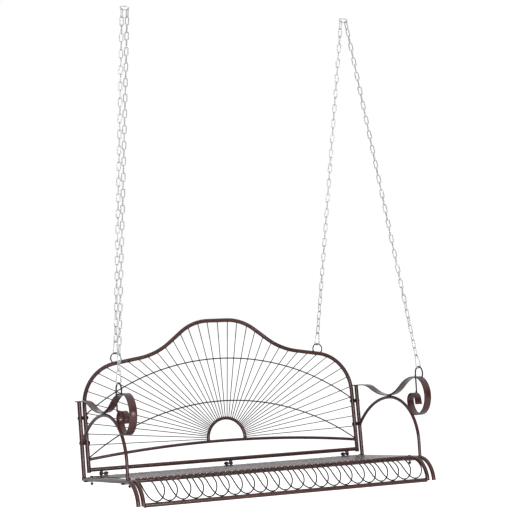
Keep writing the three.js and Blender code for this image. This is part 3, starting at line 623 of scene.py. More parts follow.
BRONZE_DARK = (0.036, 0.011, 0.010)
BRONZE_LIGHT = (0.056, 0.018, 0.016)
WIRE_DARK = (0.014, 0.010, 0.009)
WIRE_LIGHT = (0.026, 0.019, 0.017)
BLACK_DARK = (0.006, 0.006, 0.007)
BLACK_LIGHT = (0.014, 0.014, 0.015)
ZINC_DARK = (0.46, 0.47, 0.48)
ZINC_LIGHT = (0.67, 0.68, 0.69)

# Each look is a material and the record's slot that it stands for
paint = (painted("bronze_paint", BRONZE_DARK, BRONZE_LIGHT, rough=0.22), "frame_paint")
wire = (painted("wire_paint", WIRE_DARK, WIRE_LIGHT, rough=0.36, specular=0.3), "wire_paint")
black = (painted("black_plating", BLACK_DARK, BLACK_LIGHT, rough=0.34, specular=0.2), "bolt_black")
zinc = (zinc_plated("zinc_plating", ZINC_DARK, ZINC_LIGHT, rough=0.34), "zinc")


# Backrest

CROWN_TURN = 90 + DIP_TURN - SHOULDER_TURN


def back_outline(inset=0.0):
    """The right half of the frame tube's path, or of a line inside it, from the crown to the foot."""
    steep = sin(radians(CROWN_TURN))
    slope = radians(CROWN_TURN - DIP_TURN)
    shallow = sin(slope)
    bends = CROWN_R * steep + DIP_R * (steep - shallow) + SHOULDER_R * (1 - shallow)
    straights = CROWN_FLAT_HALF + CROWN_RUN * cos(radians(CROWN_TURN))
    shoulder_run = (BACK_HALF_WIDTH - bends - straights) / cos(slope)
    moves = [
        ("run", CROWN_FLAT_HALF),
        ("turn", -CROWN_TURN, CROWN_R - inset),
        ("run", CROWN_RUN),
        ("turn", DIP_TURN, DIP_R + inset),
        ("run", shoulder_run),
        ("turn", -SHOULDER_TURN, SHOULDER_R - inset),
        ("run", BACK_SIDE_TOP_S - BACK_FOOT_S),
    ]
    points = track((0, 0), 0, moves)
    rise = BACK_FOOT_S - points[-1].y
    return [p + Vector((0, rise)) for p in points]


def along(points, share):
    """The point that lies a share of the length along a path."""
    length = share * sum((b - a).length for a, b in zip(points, points[1:]))
    for a, b in zip(points, points[1:]):
        step = (b - a).length
        if length <= step:
            return a.lerp(b, length / step)
        length -= step


def height_at(points, x):
    """The point of a path, drawn from left to right, that lies at x."""
    for a, b in zip(points, points[1:]):
        if b.x > x:
            return a.lerp(b, (x - a.x) / (b.x - a.x))


def mirrored(points):
    """A path from the middle to the right, with its mirror image before it."""
    return [Vector((-p.x, p.y)) for p in reversed(points)] + points[1:]


def cross_arc(end_s, rise, y):
    """A circular arc across the backrest, and its radius."""
    chord = BACK_HALF_WIDTH - TUBE_R
    radius = (chord**2 + rise**2) / (2 * rise)
    reach = asin((BACK_HALF_WIDTH - TUBE_R / 2) / radius)
    points = []
    for i in range(CROSS_ARC_STEPS + 1):
        a = reach * (2 * i / CROSS_ARC_STEPS - 1)
        points.append(Vector((radius * sin(a), y, end_s + rise - radius * (1 - cos(a)))))
    return points, radius


def arc_crossing(arc_radius, top_s, start, ahead):
    """How far along a ray it crosses an arc whose highest point is at top_s."""
    centre = Vector((0, top_s - arc_radius))
    offset = start - centre
    half = offset.dot(ahead)
    return -half + sqrt(half**2 - offset.length_squared + arc_radius**2)


outline = back_outline()


def cross_rail(name, node, side_x, y, z, main, place=BENCH):
    """A straight rail across the bench, welded to the tubes that run along main at side_x on both sides."""
    shell = Shell()
    shell.tube(span(side_x - TUBE_R / 2, y, z), TUBE_R, TUBE_SIDES)
    for side in SIDES.values():
        joint_weld(shell, Vector((side * side_x, y, z)), -side * X, TUBE_R, main, TUBE_R)
    piece(name, shell, paint, node, place=place)


def backrest_frame():
    shell = Shell()
    path = [upright(p) for p in mirrored(outline)]
    shell.tube(path, TUBE_R, TUBE_SIDES, edge=EDGE_R)
    piece("backrest_frame_tube", shell, paint, "backrest_frame", place=BACK)


def backrest_rails():
    cross_rail("bottom_rail_tube", "backrest_bottom_rail", BACK_HALF_WIDTH, 0, BOTTOM_RAIL_S, Z, BACK)
    shell = Shell()
    path, _ = cross_arc(ARCHED_RAIL_END_S, ARCHED_RAIL_RISE, 0)
    shell.tube(path, RAIL_R, RAIL_SIDES)
    for end, inner in ((path[0], path[1]), (path[-1], path[-2])):
        centre = Vector((copysign(BACK_HALF_WIDTH, end.x), 0, end.z))
        joint_weld(shell, centre, inner - end, RAIL_R, Z, TUBE_R)
    piece("arched_rail_tube", shell, paint, "arched_rail", place=BACK)


def sun_half_ring():
    shell = Shell()
    leg = RAIL_R
    moves = [("run", leg), ("turn", 180, SUN_R), ("run", leg)]
    path = [upright(p) for p in track((SUN_R, SUN_S - leg), 90, moves)]
    shell.tube(path, ARCH_R, RAIL_SIDES)
    rail_s = ARCHED_RAIL_END_S + ARCHED_RAIL_RISE
    for side in SIDES.values():
        joint_weld(shell, Vector((side * SUN_R, 0, rail_s)), Z, ARCH_R, X, SUN_WELD_R)
    piece("sun_ring_tube", shell, paint, "sun_half_ring", place=BACK)


def sunburst():
    """The rays lie in front of the two arcs and are spot-welded to them, to the sun ring and to the frame."""
    shell = Shell()
    ray_y = -ARC_WIRE_R + WIRE_SINK
    arc_y = RAY_WIRE_R - WIRE_SINK
    sun = Vector((0, SUN_S))
    inner = back_outline(TUBE_R)
    arcs = []
    for end_s, rise in ((OUTER_ARC_END_S, OUTER_ARC_RISE), (INNER_ARC_END_S, INNER_ARC_RISE)):
        path, radius = cross_arc(end_s, rise, arc_y)
        shell.tube(path, ARC_WIRE_R, ARC_WIRE_SIDES)
        arcs.append((radius, end_s + rise))
        for end in (path[0], path[-1]):
            inside_x = copysign(BACK_HALF_WIDTH - TUBE_R, end.x)
            shell.blob(Vector((inside_x, arc_y, end.z)), ARC_WIRE_R * RAY_WELD)
    tips = [along(inner, share) for share in RAY_SHARES]
    tips += [Vector((-tip.x, tip.y)) for tip in tips[1:]]
    for tip in tips:
        ahead = (tip - sun).normalized()
        start = sun + ahead * SUN_R
        ends = [upright(start, ray_y), upright(tip + ahead * TUBE_R / 2, ray_y)]
        shell.tube(ends, RAY_WIRE_R, THIN_WIRE_SIDES)
        shell.blob(upright(tip, ray_y), RAY_WIRE_R * RAY_END_WELD)
        shell.blob(upright(start + ahead * ARCH_R, ray_y), RAY_WIRE_R * RAY_WELD)
        for radius, top_s in arcs:
            cross = arc_crossing(radius, top_s, start, ahead)
            if 0 < cross < (tip - start).length:
                spot = upright(start + ahead * cross, (ray_y + arc_y) / 2)
                shell.blob(spot, RAY_WIRE_R * RAY_WELD)
    piece("sunburst_wire", shell, wire, "sunburst_wires", place=BACK)


ring_foot = height_at(outline, CHAIN_RING_X)
ring_s = ring_foot.y + CHAIN_RING_RISE


def chain_rings():
    for name, side in SIDES.items():
        shell = Shell()
        middle = Vector((side * CHAIN_RING_X, 0, ring_s))
        ring = arc_points(CHAIN_RING_R, 90 - CHAIN_RING_SWEEP / 2, CHAIN_RING_SWEEP, CHAIN_RING_STEPS)
        path = [middle + upright(p) for p in ring]
        shell.tube(path, RING_WIRE_R, WIRE_SIDES)
        tube_run = height_at(outline, CHAIN_RING_X + SLOPE_REACH)
        tube_run -= height_at(outline, CHAIN_RING_X - SLOPE_REACH)
        main = Vector((side * tube_run.x, 0, tube_run.y)).normalized()
        inside = RING_END_STEPS
        for end, inner in ((path[0], path[inside]), (path[-1], path[-1 - inside])):
            branch = (inner - end).normalized()
            foot = Vector((end.x, 0, height_at(outline, abs(end.x)).y))
            reach = (foot - end).dot(Vector((-main.z, 0, main.x)))
            joint_weld(shell, end + branch * reach, branch, RING_WIRE_R, main, TUBE_R, THIN_BEAD_R)
        piece(f"chain_ring_wire_{name}", shell, wire, f"chain_ring_{name}", place=BACK)


# Fasteners

def bolt(shell, place, grip, head=HEAD_H, nut=NUT_H, tail=BOLT_TAIL, nut_drop=0.0, spacer_from=None):
    """A bolt that clamps from 0 to grip along its +Z, with washers, a nut, its thread and maybe a spacer.
    A head too low for a hexagon on a washer is a dome."""
    def part(profile, sides=TUBE_SIDES):
        shell.lathe([(0, profile[0][1]), *profile, (0, profile[-1][1])], place, sides)

    def washer(bottom):
        part([(WASHER_R, bottom), (WASHER_R, bottom + WASHER_T)], WASHER_SIDES)

    def hexagon(bottom, height, chamfer):
        top = bottom + height
        part([(HEAD_R, bottom), (HEAD_R, top - chamfer), (HEAD_TOP_R, top)], sides=6)

    nut_end = -nut_drop - nut
    washer(-nut_drop - WASHER_T)
    if head > 2 * WASHER_T:
        washer(grip)
        hexagon(grip + WASHER_T, head - WASHER_T, HEAD_CHAMFER)
    else:
        part([(HEAD_R * r, grip + head * h) for r, h in DOME_SHARES])
    hexagon(nut_end, nut - WASHER_T, NUT_CHAMFER)
    part([(BOLT_R, nut_end), (BOLT_R, grip)])
    thread = [(THREAD_TIP_R, nut_end - tail)]
    for i in range(round(tail / THREAD_PITCH)):
        z = nut_end - tail + i * THREAD_PITCH
        thread += [(BOLT_R * r, z + THREAD_PITCH * h) for r, h in THREAD_SHARES]
    part(thread + [(THREAD_END_R, nut_end + THREAD_SINK)])
    if spacer_from:
        low, high = spacer_from, spacer_from + SPACER_LENGTH
        edge_r = SPACER_R - SPACER_EDGE
        part([(edge_r, low), (SPACER_R, low + SPACER_EDGE), (SPACER_R, high - SPACER_EDGE), (edge_r, high)])


def rounded_plate(shell, corners, place, thickness):
    """A flat plate from its outline, with a small rounded edge; it lies on its own z from 0 to thickness."""
    centre = sum(corners, Vector((0, 0))) / len(corners)
    rings = []
    edge = thickness * PLATE_EDGE_SHARE
    small = PLATE_EDGE_SHRINK
    for z, shrink in ((0, small), (edge, 1), (thickness - edge, 1), (thickness, small)):
        ring = [centre + (p - centre) * shrink for p in corners]
        rings.append([place @ Vector((p.x, p.y, z)) for p in ring])
    shell.add_rings(rings)


def clip_tab(weld_z):
    """A tab in its own plane, (y, z), from its welded edge to the round end past its bolt."""
    away = copysign(1, CLIP_BOLT_Z - weld_z)
    half = CLIP_TAB_WIDTH / 2
    centre_z = CLIP_BOLT_Z + away * (CLIP_TAB_END - half)
    points = [Vector((-half, weld_z))]
    points += [Vector((0, centre_z)) + p for p in arc_points(half, 180, -180 * away, CLIP_TAB_STEPS)]
    points.append(Vector((half, weld_z)))
    return points if away < 0 else points[::-1]


def clips():
    upper_weld = BOTTOM_RAIL_S * cos(BACK_LEAN) - TUBE_R + CLIP_WELD_SINK
    lower_weld = TUBE_R - CLIP_WELD_SINK
    grip = 2 * CLIP_TAB_OFFSET + CLIP_TAB_T
    for name, x, upper_side in (("left", -CLIP_X, -1), ("middle", 0, 1), ("right", CLIP_X, 1)):
        for part, weld_z, side in (("upper", upper_weld, upper_side), ("lower", lower_weld, -upper_side)):
            shell = Shell()
            tab_x = x + side * CLIP_TAB_OFFSET
            turn = Matrix(((0, 0, 1, tab_x - CLIP_TAB_T / 2), (1, 0, 0, CLIP_Y), (0, 1, 0, 0), (0, 0, 0, 1)))
            rounded_plate(shell, clip_tab(weld_z), turn, CLIP_TAB_T)
            bead_z = weld_z + CLIP_BEAD_INSET * (1 if part == "lower" else -1)
            for face in (-1, 1):
                centre = Vector((tab_x + face * CLIP_TAB_T / 2, CLIP_Y, bead_z))
                straight_weld(shell, centre, Y * CLIP_TAB_WIDTH / 2, CLIP_BEAD_R, CLIP_BEAD_POINTS)
            piece(f"clip_{part}_plate_{name}", shell, paint, f"clip_{part}_tab_{name}")
        shell = Shell()
        place = placed((x - upper_side * grip / 2, CLIP_Y, CLIP_BOLT_Z), upper_side * pi / 2, "Y")
        bolt(shell, place, grip)
        piece(f"clip_screw_{name}", shell, black, f"clip_bolt_{name}")


# Arms

def in_arm(p, x):
    """Puts a point of an arm's plane, (forward, up), into the bench's frame."""
    return Vector((x, -p.x, p.y))


def post_y(z):
    return z * tan(POST_LEAN)


def side_bolt_y(z):
    return (post_y(z) + z * tan(BACK_LEAN)) / 2


def waterfall(start_u):
    """A seat-level bar that bends down at the front."""
    return track((-TUBE_R, 0), 0, [("run", start_u + TUBE_R), ("turn", -WATERFALL_TURN, WATERFALL_R)])


def arch_path():
    """The arch's highest point, and its path from the post over the top and down to the seat."""
    knee_turn = 90 - ARCH_FRONT_TURN
    lean = radians(ARCH_FRONT_TURN)
    top_u = WATERFALL_START_U - ARCH_FRONT_R * sin(lean) - ARCH_KNEE_R * (1 - sin(lean))
    rear_turn = radians(ARCH_REAR_TURN)
    rear_r = (top_u + post_y(ARCH_TOP_Z)) / (sin(rear_turn) + post_y(1 - cos(rear_turn)))
    drop = ARCH_FRONT_R * (1 - cos(lean)) + ARCH_KNEE_R * cos(lean)
    rear = track((top_u, ARCH_TOP_Z), 180, [("turn", ARCH_REAR_TURN, rear_r)])
    front = track((top_u, ARCH_TOP_Z), 0, [
        ("turn", -ARCH_FRONT_TURN, ARCH_FRONT_R),
        ("turn", -knee_turn, ARCH_KNEE_R),
        ("run", ARCH_TOP_Z - drop - TUBE_R / 2),
    ])
    return top_u, rear[::-1] + front[1:]


arch_top_u, arch = arch_path()


def scroll_path():
    """The armrest strip: flat on the post, down to the arch, up to its crest and round the scroll."""
    drop = radians(HUMP_TURN)
    start_z = POST_TOP_Z + GAP + STRIP_T / 2
    seat_z = ARCH_TOP_Z + ARCH_R + GAP + STRIP_T / 2
    bends = HUMP_R + VALLEY_REAR_R
    fall = (start_z - seat_z - bends * (1 - cos(drop))) / sin(drop)
    flat = arch_top_u - STRIP_REAR_U - bends * sin(drop) - fall * cos(drop)
    return track((STRIP_REAR_U, start_z), 0, [
        ("run", flat),
        ("turn", -HUMP_TURN, HUMP_R),
        ("run", fall),
        ("turn", HUMP_TURN, VALLEY_REAR_R),
        ("turn", CLIMB_TURN, VALLEY_FRONT_R),
        ("run", CLIMB_RUN),
        ("turn", -CLIMB_TURN, CREST_R),
        ("run", CREST_RUN),
        ("turn", -180, SCROLL_R),
        ("turn", -90, SCROLL_HEEL_R),
        ("turn", -180, CURL_R),
        ("turn", CURL_TAIL_TURN, CURL_TAIL_R),
    ])


scroll = scroll_path()
crest = max(scroll, key=lambda p: p.y)
eye_centre = Vector((crest.x, crest.y + EYE_RISE))
EYE_X = STRIP_WIDTH / 2 + GAP + EYE_WIRE_R


def arm_frame(name, side):
    x = side * ARM_X
    shell = Shell()
    foot = Vector((x, post_y(TUBE_R / 2), TUBE_R / 2))
    top = Vector((x, post_y(POST_TOP_Z), POST_TOP_Z + GAP))
    shell.tube([foot, top], TUBE_R, TUBE_SIDES, side=X)
    joint_weld(shell, Vector((x, 0, 0)), top - foot, TUBE_R, Y, TUBE_R)
    ring = [top + Vector((p.x, p.y, -BEAD_R / 2)) for p in circle(TUBE_R, RING_BEAD_POINTS)]
    bead(shell, ring, closed=True)
    piece(f"arm_post_tube_{name}", shell, paint, f"arm_post_{name}")

    shell = Shell()
    path = [in_arm(p, x) for p in arch]
    shell.tube(path, ARCH_R, RAIL_SIDES, side=X)
    joint_weld(shell, path[0], path[1] - path[0], ARCH_R, top - foot, TUBE_R)
    joint_weld(shell, Vector((x, path[-1].y, 0)), Z, ARCH_R, Y, TUBE_R)
    for off in (-ARCH_WELD_X, ARCH_WELD_X):
        centre = Vector((x + off, -arch_top_u, ARCH_TOP_Z + ARCH_WELD_RISE))
        straight_weld(shell, centre, Y * ARCH_WELD_HALF)
    piece(f"arm_arch_tube_{name}", shell, paint, f"arm_arch_{name}")

    shell = Shell()
    path = [in_arm(p, x) for p in waterfall(WATERFALL_START_U)]
    shell.tube(path, TUBE_R, TUBE_SIDES, side=X, edge=EDGE_R)
    piece(f"arm_bar_tube_{name}", shell, paint, f"arm_bottom_bar_{name}")


def arm_strip(name, side):
    x = side * ARM_X
    shell = Shell()
    path = [in_arm(p, x) for p in scroll]
    shell.sweep(path, rounded_bar(STRIP_WIDTH, STRIP_T, STRIP_EDGE_R), side=X, edge=EDGE_R)
    piece(f"arm_strip_{name}", shell, paint, f"arm_scroll_{name}")

    shell = Shell()
    eye_x = side * (ARM_X + EYE_X)
    foot_z = crest.y - 2 * SCROLL_R + SCROLL_HEEL_R + CURL_R - STRIP_T / 2
    moves = [("run", eye_centre.y - foot_z), ("turn", -EYE_SWEEP, EYE_R)]
    path = [in_arm(p, eye_x) for p in track((eye_centre.x - EYE_R, foot_z), 90, moves)]
    shell.tube(path, EYE_WIRE_R, WIRE_SIDES, side=X, edge=EDGE_R)
    weld_x = eye_x - side * EYE_WIRE_R
    weld_y = path[0].y + EYE_WELD_OFFSET
    for z in (crest.y, foot_z + EYE_FOOT_WELD_RISE):
        straight_weld(shell, Vector((weld_x, weld_y, z)), Z * EYE_WELD_HALF)
    piece(f"eye_wire_{name}", shell, wire, f"eye_rod_{name}")


def arm_fasteners(name, side):
    x = side * ARM_X
    for spot, z in SIDE_BOLT_ZS.items():
        shell = Shell()
        grip = 4 * TUBE_R + SPACER_LENGTH
        place = placed((x - side * (grip - TUBE_R), side_bolt_y(z), z), side * pi / 2, "Y")
        bolt(shell, place, grip, SIDE_HEAD_H, SIDE_NUT_H, SIDE_BOLT_TAIL, spacer_from=2 * TUBE_R)
        piece(f"back_screw_{spot}_{name}", shell, black, f"back_bolt_{spot}_{name}")
    for spot, u in SEAT_BOLT_US.items():
        shell = Shell()
        inside = SEAT_BAR_X - ARM_TAB_INSIDE
        outside = ARM_X + TUBE_R
        half = ARM_TAB_LENGTH / 2
        corners = [Vector(p) for p in ((inside, -half), (outside, -half), (outside, half), (inside, half))]
        if side < 0:
            corners = [Vector((-p.x, p.y)) for p in reversed(corners)]
        under = -TUBE_R - GAP
        rounded_plate(shell, corners, Matrix.Translation((0, -u, under - PLATE_T)), PLATE_T)
        for end in (-1, 1):
            centre = Vector((x + side * ARM_TAB_WELD_OFFSET, -u + end * half, under))
            straight_weld(shell, centre, side * ARM_TAB_WELD_HALF * X, THIN_BEAD_R)
        piece(f"arm_plate_{spot}_{name}", shell, paint, f"arm_tab_{spot}_{name}")
        shell = Shell()
        place = Matrix.Translation((side * SEAT_BAR_X, -u, under - PLATE_T))
        bolt(shell, place, 2 * TUBE_R + GAP + PLATE_T, nut_drop=SEAT_NUT_DROP)
        piece(f"seat_screw_{spot}_{name}", shell, black, f"seat_bolt_{spot}_{name}")


# Seat

def seat_frame():
    for name, side in SIDES.items():
        shell = Shell()
        path = [in_arm(p, side * SEAT_BAR_X) for p in waterfall(SEAT_BAR_START_U)]
        shell.tube(path, TUBE_R, TUBE_SIDES, side=X, edge=EDGE_R)
        piece(f"seat_bar_tube_{name}", shell, paint, f"seat_side_bar_{name}")
    apron_turn = atan2(APRON_RAIL_U - SEAT_BAR_START_U, APRON_RAIL_Z + WATERFALL_R)
    apron_run = Vector((0, -cos(apron_turn), -sin(apron_turn)))
    rails = {
        "seat_rear_rail": (0, 0, Y),
        "seat_front_rail": (FRONT_RAIL_U, 0, Y),
        "apron_rail": (APRON_RAIL_U, APRON_RAIL_Z, apron_run),
    }
    for node, (u, z, bar_run) in rails.items():
        cross_rail(f"{node}_tube", node, SEAT_BAR_X, -u, z, bar_run)


def slats():
    """Flat strips folded down in front of the rear rail and over the front rail, on a cross bar."""
    shell = Shell()
    rise = TUBE_R + GAP + SLAT_T / 2
    path = track((rise, rise - SLAT_BEND_R - SLAT_LIP), 90, [("run", SLAT_LIP), ("turn", -90, SLAT_BEND_R)])
    path += track((FRONT_RAIL_U, rise), 0, [("turn", -SLAT_FRONT_TURN, rise)])
    section = rounded_bar(SLAT_WIDTH, SLAT_T, SLAT_EDGE_R, steps=2)
    for i in range(SLAT_COUNT):
        x = (i - (SLAT_COUNT - 1) / 2) * SLAT_PITCH
        shell.sweep([in_arm(p, x) for p in path], section, side=X)
    bar_z = TUBE_R + GAP - PLATE_T / 2
    bar = rounded_bar(CROSS_BAR_WIDTH, PLATE_T, SLAT_EDGE_R, steps=2)
    shell.sweep(span(SEAT_BAR_X - TUBE_R, -CROSS_BAR_U, bar_z), bar)
    piece("slat_strips", shell, paint, "seat_slats")


def apron_loops():
    """U-shaped wires on the waterfall curve, each welded to its neighbours and to both rails."""
    shell = Shell()
    top_arc = asin((FRONT_RAIL_U + LOOP_START - SEAT_BAR_START_U) / WATERFALL_R)
    bottom_arc = acos((WATERFALL_R + APRON_RAIL_Z + TUBE_R + LOOP_WIRE_R) / WATERFALL_R)
    half_arc = (bottom_arc - top_arc) / 2
    cross = acos(LOOP_PITCH / 2 / LOOP_HALF_WIDTH)

    def on_curve(x, arc, radius):
        out = Vector((0, -sin(arc), cos(arc)))
        return out * radius + Vector((x, -SEAT_BAR_START_U, -WATERFALL_R))

    for k in range(LOOP_COUNT):
        middle = (k - (LOOP_COUNT - 1) / 2) * LOOP_PITCH
        radius = WATERFALL_R + (1 if k % 2 == 0 else -1) * (LOOP_WIRE_R - WIRE_SINK)
        leg = [(1, top_arc + half_arc * i / LOOP_LEG_STEPS) for i in range(LOOP_LEG_STEPS)]
        turns = [pi * i / LOOP_BEND_STEPS for i in range(LOOP_BEND_STEPS + 1)]
        bend = [(cos(t), top_arc + half_arc * (1 + sin(t))) for t in turns]
        shape = leg + bend + [(-side, arc) for side, arc in reversed(leg)]
        path = [on_curve(middle + LOOP_HALF_WIDTH * side, arc, radius) for side, arc in shape]
        shell.tube(path, LOOP_WIRE_R, THIN_WIRE_SIDES, side=X)
        for side, arc in ((-1, top_arc), (1, top_arc), (0, bottom_arc)):
            spot = on_curve(middle + LOOP_HALF_WIDTH * side, arc, radius)
            shell.blob(spot, LOOP_WIRE_R * LOOP_END_WELD)
        if k < LOOP_COUNT - 1:
            arc = top_arc + half_arc * (1 + sin(cross))
            shell.blob(on_curve(middle + LOOP_PITCH / 2, arc, WATERFALL_R), LOOP_WIRE_R * LOOP_WELD)
    piece("apron_wire", shell, wire, "apron_loops")


# Chains and snap hooks

hook_rise = HOOK_INSIDE + 2 * HOOK_WIRE_R - HOOK_TOP_R - HOOK_BOTTOM_R
hook_taper = asin((HOOK_BOTTOM_R - HOOK_TOP_R) / hook_rise)


def link(shell, place, inside):
    """A welded chain link in its own x-z plane, its inner length centred on z = 0."""
    straight = inside / 2 + CHAIN_WIRE_R - LINK_HALF_WIDTH
    path = []
    for end in (1, -1):
        bend = arc_points(LINK_HALF_WIDTH, 90 - 90 * end, 180, LINK_END_STEPS)
        path += [upright(p) + end * straight * Z for p in bend]
    seam = straight * LINK_SEAM_SHARE
    half = len(path) // 2
    path[half:half] = [Vector((-LINK_HALF_WIDTH, 0, z)) for z in (seam, 0, -seam)]
    scales = [1.0] * len(path)
    scales[half + 1] = LINK_SEAM_SWELL
    first = len(shell.points)
    shell.tube(path, CHAIN_WIRE_R, LINK_SIDES, closed=True, scales=scales)
    shell.points[first:] = [place @ p for p in shell.points[first:]]


def hangers():
    for name in SIDES:
        low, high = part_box(f"hanger_link_{name}")
        shell = Shell()
        inside = high.x - low.x - 4 * CHAIN_WIRE_R
        link(shell, placed((low + high) / 2, pi / 2, "Y"), inside)
        piece(f"hanger_wire_{name}", shell, zinc, f"hanger_link_{name}", body="hangers", place=Matrix())


def anchor_point(end, side):
    """The top of the wire that a strand's snap hook holds, and the wire's radius."""
    if end == "rear":
        return BACK @ Vector((side * CHAIN_RING_X, 0, ring_s + CHAIN_RING_R)), RING_WIRE_R
    top = Vector((eye_centre.x, eye_centre.y + EYE_R))
    return BENCH @ in_arm(top, side * (ARM_X + EYE_X)), EYE_WIRE_R


def strand_frame(end, side):
    """A strand's matrix at its upper end, z up along it, its length, and the radius of the wire it holds."""
    facts = STRANDS[end]
    top = Vector((side * HANGER_X + facts["offset"] * STRAND_OFFSET, 0, 0))
    anchor, wire_r = anchor_point(end, side)
    up = (top - anchor).normalized()
    across = (X - up * up.x).normalized()
    basis = Matrix((across, up.cross(across), up)).transposed().to_4x4()
    return Matrix.Translation(top) @ basis, (top - anchor).length, wire_r


def twist(k, count):
    """Degrees that link k is turned past its place in the alternating planes, eased at both ends."""
    near_end = max(0.0, 1 - (count - 1 - k) / TWIST_LINKS, 1 - k / TOP_TWIST_LINKS)
    ease = near_end * near_end * (3 - 2 * near_end)
    jitter = 0 if k in (0, count - 1) else TWIST_JITTER * (2 * chance.random() - 1)
    return FACING_TWIST + (END_TWIST - FACING_TWIST) * ease + jitter


def chain_and_hook(end, name, side):
    facts = STRANDS[end]
    place, length, anchor_r = strand_frame(end, side)
    inside_bottom = -length - anchor_r - facts["anchor_play"]
    inside_top = inside_bottom + HOOK_INSIDE
    count = facts["links"]
    pitch = (CHAIN_WIRE_R - inside_top) / count
    shell = Shell()
    for k in range(count):
        turn = radians(twist(k, count) + (90 if k % 2 == 0 else 0))
        link(shell, place @ placed((0, 0, CHAIN_WIRE_R - (k + 0.5) * pitch), turn, "Z"), pitch)
    piece(f"chain_links_{end}_{name}", shell, zinc, f"chain_{end}_{name}", place=Matrix())
    bend = (0, 0, inside_bottom + HOOK_BOTTOM_R - HOOK_WIRE_R)
    hook_place = place @ placed(bend, radians(facts["hook_turn"]), "Z")
    snap_hook(end, name, hook_place, facts["anchor_play"])


def snap_hook(end, name, place, raise_by):
    """The hook in its own x-z plane, with its gate on the -x side and its lower bend's centre at the origin.
    The lower bend is drawn up by raise_by, to bear on the wire it holds."""
    taper = degrees(hook_taper)
    leg_up = Vector((sin(hook_taper), cos(hook_taper)))
    tangent = Vector((-cos(hook_taper), sin(hook_taper))) * HOOK_BOTTOM_R
    nose = tangent + leg_up * HOOK_NOSE
    bottom_r = HOOK_BOTTOM_R - raise_by * sin(hook_taper)
    shorter = raise_by * cos(hook_taper)
    leg = hook_rise * cos(hook_taper)
    path = track(nose, -90 - taper, [
        ("run", HOOK_NOSE - shorter),
        ("turn", 180 + 2 * taper, bottom_r),
        ("run", leg - shorter),
        ("turn", 180 - 2 * taper, HOOK_TOP_R),
        ("run", HOOK_PIVOT_LEG),
    ])
    shell = Shell()
    shell.tube([upright(p) for p in path], HOOK_WIRE_R, WIRE_SIDES, edge=HOOK_END_EDGE)
    gate_length = leg - HOOK_NOSE - HOOK_PIVOT_LEG - 2 * GAP
    pivot = nose + leg_up * (gate_length + GAP - GATE_R)
    across = placed(upright(pivot), pi / 2, "X")
    crown = HOOK_WIRE_R + RIVET_RISE
    half_rivet = [(RIVET_R, HOOK_WIRE_R), (RIVET_CROWN_R, crown), (0, crown)]
    shell.lathe([(r, -z) for r, z in reversed(half_rivet)] + half_rivet, across, RIVET_SIDES)
    piece(f"hook_wire_{end}_{name}", shell, zinc, f"snap_hook_{end}_{name}", place=place)
    gate_low = nose + leg_up * GAP
    shell = Shell()
    turn = placed(upright(gate_low), hook_taper, "Y")
    head_z = gate_length - GATE_HEAD
    foot = [(0, 0), (GATE_FOOT_R, 0), (GATE_R, GATE_FOOT_EDGE), (GATE_R, GATE_COLLAR)]
    waist = [(GATE_WAIST_R, GATE_COLLAR + GATE_WAIST_EDGE), (GATE_WAIST_R, head_z - GATE_HEAD_SLOPE)]
    top = [(GATE_R, head_z)]
    top += [(GATE_R * cos(a), gate_length - GATE_R * (1 - sin(a))) for a in GATE_DOME_TURNS]
    shell.lathe(foot + waist + top, turn, GATE_SIDES)
    gate = f"gate_{end}_{name}"
    piece(f"gate_pin_{end}_{name}", shell, zinc, f"snap_{gate}", body=gate, place=place)


# Making the pieces

backrest_frame()
backrest_rails()
sun_half_ring()
sunburst()
chain_rings()
clips()
seat_frame()
slats()
apron_loops()
hangers()
for side_name, side_sign in SIDES.items():
    arm_frame(side_name, side_sign)
    arm_strip(side_name, side_sign)
    arm_fasteners(side_name, side_sign)
    for strand_end in STRANDS:
        chain_and_hook(strand_end, side_name, side_sign)


# Floor, light and background

FLOOR_Z = -2.25
FLOOR_SIZE = 60
FLOOR_COLOR = (0.86, 0.86, 0.86)
FLOOR_ROUGHNESS = 0.9
FLOOR_SPECULAR = 0.1
FLOOR_LIFT = 0.68
WORLD_COLOR = (0.97, 0.98, 1.0)
WORLD_LIGHT = 0.5
# What reflections see: walls that brighten along an axis, from one share of it to another
STUDIO_LOW = 0.14
STUDIO_BRIGHT = 1.1
STUDIO_WALLS = (("Z", 0.25, 0.85), ("Y", 0.45, 0.9))
BENCH_MIDDLE = (0, 0, -1.5)
# Name, place, size, watts, and whether reflections see it
LIGHTS = (
    ("key", (-2.6, -3.4, 1.4), (2.4, 1.8), 70, False),
    ("fill", (3.2, -2.6, 0.2), (2.0, 2.0), 40, False),
    ("back", (1.2, 3.4, 1.2), (2.4, 1.4), 60, False),
    ("panel", (-1.95, -3.95, -1.2), (1.8, 1.9), 75, True),
    ("glint", (1.05, -4.5, -1.25), (0.5, 1.2), 34, True),
)


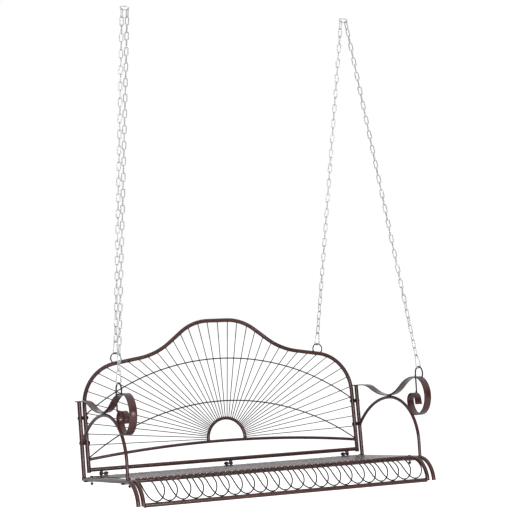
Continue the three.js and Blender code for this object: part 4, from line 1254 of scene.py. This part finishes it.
def floor():
    """A pale floor that is lifted to plain white for the camera where no shadow falls."""
    mesh = bpy.data.meshes.new("floor")
    half = FLOOR_SIZE / 2
    corners = [(x * half, y * half, FLOOR_Z) for x, y in ((-1, -1), (1, -1), (1, 1), (-1, 1))]
    mesh.from_pydata(corners, [], [(0, 1, 2, 3)])
    surface = Surface("floor", metallic=0.0, specular=FLOOR_SPECULAR)
    surface.shader.inputs["Base Color"].default_value = (*FLOOR_COLOR, 1)
    surface.shader.inputs["Roughness"].default_value = FLOOR_ROUGHNESS
    tree = surface.tree
    glow = tree.nodes.new("ShaderNodeEmission")
    rays = tree.nodes.new("ShaderNodeLightPath")
    lift = tree.nodes.new("ShaderNodeMath")
    lift.operation = "MULTIPLY"
    lift.inputs[1].default_value = FLOOR_LIFT
    tree.links.new(rays.outputs["Is Camera Ray"], lift.inputs[0])
    tree.links.new(lift.outputs[0], glow.inputs["Strength"])
    both = tree.nodes.new("ShaderNodeAddShader")
    tree.links.new(surface.shader.outputs[0], both.inputs[0])
    tree.links.new(glow.outputs[0], both.inputs[1])
    tree.links.new(both.outputs[0], tree.nodes["Material Output"].inputs["Surface"])
    mesh.materials.append(surface.material)
    add_object("floor", mesh)


def world():
    """White for the camera. Reflections see dim walls, a bright ceiling and a bright back wall."""
    made = bpy.data.worlds.new("studio")
    made.use_nodes = True
    bpy.context.scene.world = made
    nodes, links = made.node_tree.nodes, made.node_tree.links

    def choose(switch, first, second):
        node = nodes.new("ShaderNodeMixShader")
        for i, output in enumerate((switch, first, second)):
            links.new(output, node.inputs[i])
        return node.outputs[0]

    direction = nodes.new("ShaderNodeSeparateXYZ")
    links.new(nodes.new("ShaderNodeTexCoord").outputs["Generated"], direction.inputs[0])
    shade = nodes.new("ShaderNodeMath")
    shade.operation = "MAXIMUM"
    for i, (axis, begin, end) in enumerate(STUDIO_WALLS):
        wall = map_range(made.node_tree, direction.outputs[axis], begin, end, STUDIO_LOW, STUDIO_BRIGHT)
        wall.interpolation_type = "SMOOTHSTEP"
        links.new(wall.outputs["Result"], shade.inputs[i])
    rays = nodes.new("ShaderNodeLightPath")
    plain = nodes["Background"]
    walls = nodes.new("ShaderNodeBackground")
    white = nodes.new("ShaderNodeBackground")
    for node, color in ((plain, WORLD_COLOR), (walls, WORLD_COLOR), (white, (1, 1, 1))):
        node.inputs["Color"].default_value = (*color, 1)
    plain.inputs["Strength"].default_value = WORLD_LIGHT
    links.new(shade.outputs[0], walls.inputs["Strength"])
    reflected = choose(rays.outputs["Is Glossy Ray"], plain.outputs[0], walls.outputs[0])
    shown = choose(rays.outputs["Is Camera Ray"], reflected, white.outputs[0])
    links.new(shown, nodes["World Output"].inputs["Surface"])


def area_light(name, place, size, power, reflected):
    data = bpy.data.lights.new(name, "AREA")
    data.shape = "RECTANGLE"
    data.size, data.size_y = size
    data.energy = power
    made = add_object(name, data)
    made.location = place
    made.visible_glossy = reflected
    made.rotation_euler = (Vector(BENCH_MIDDLE) - Vector(place)).to_track_quat("-Z", "Y").to_euler()


floor()
world()
for light in LIGHTS:
    area_light(*light)

bpy.context.scene.view_settings.view_transform = "Standard"
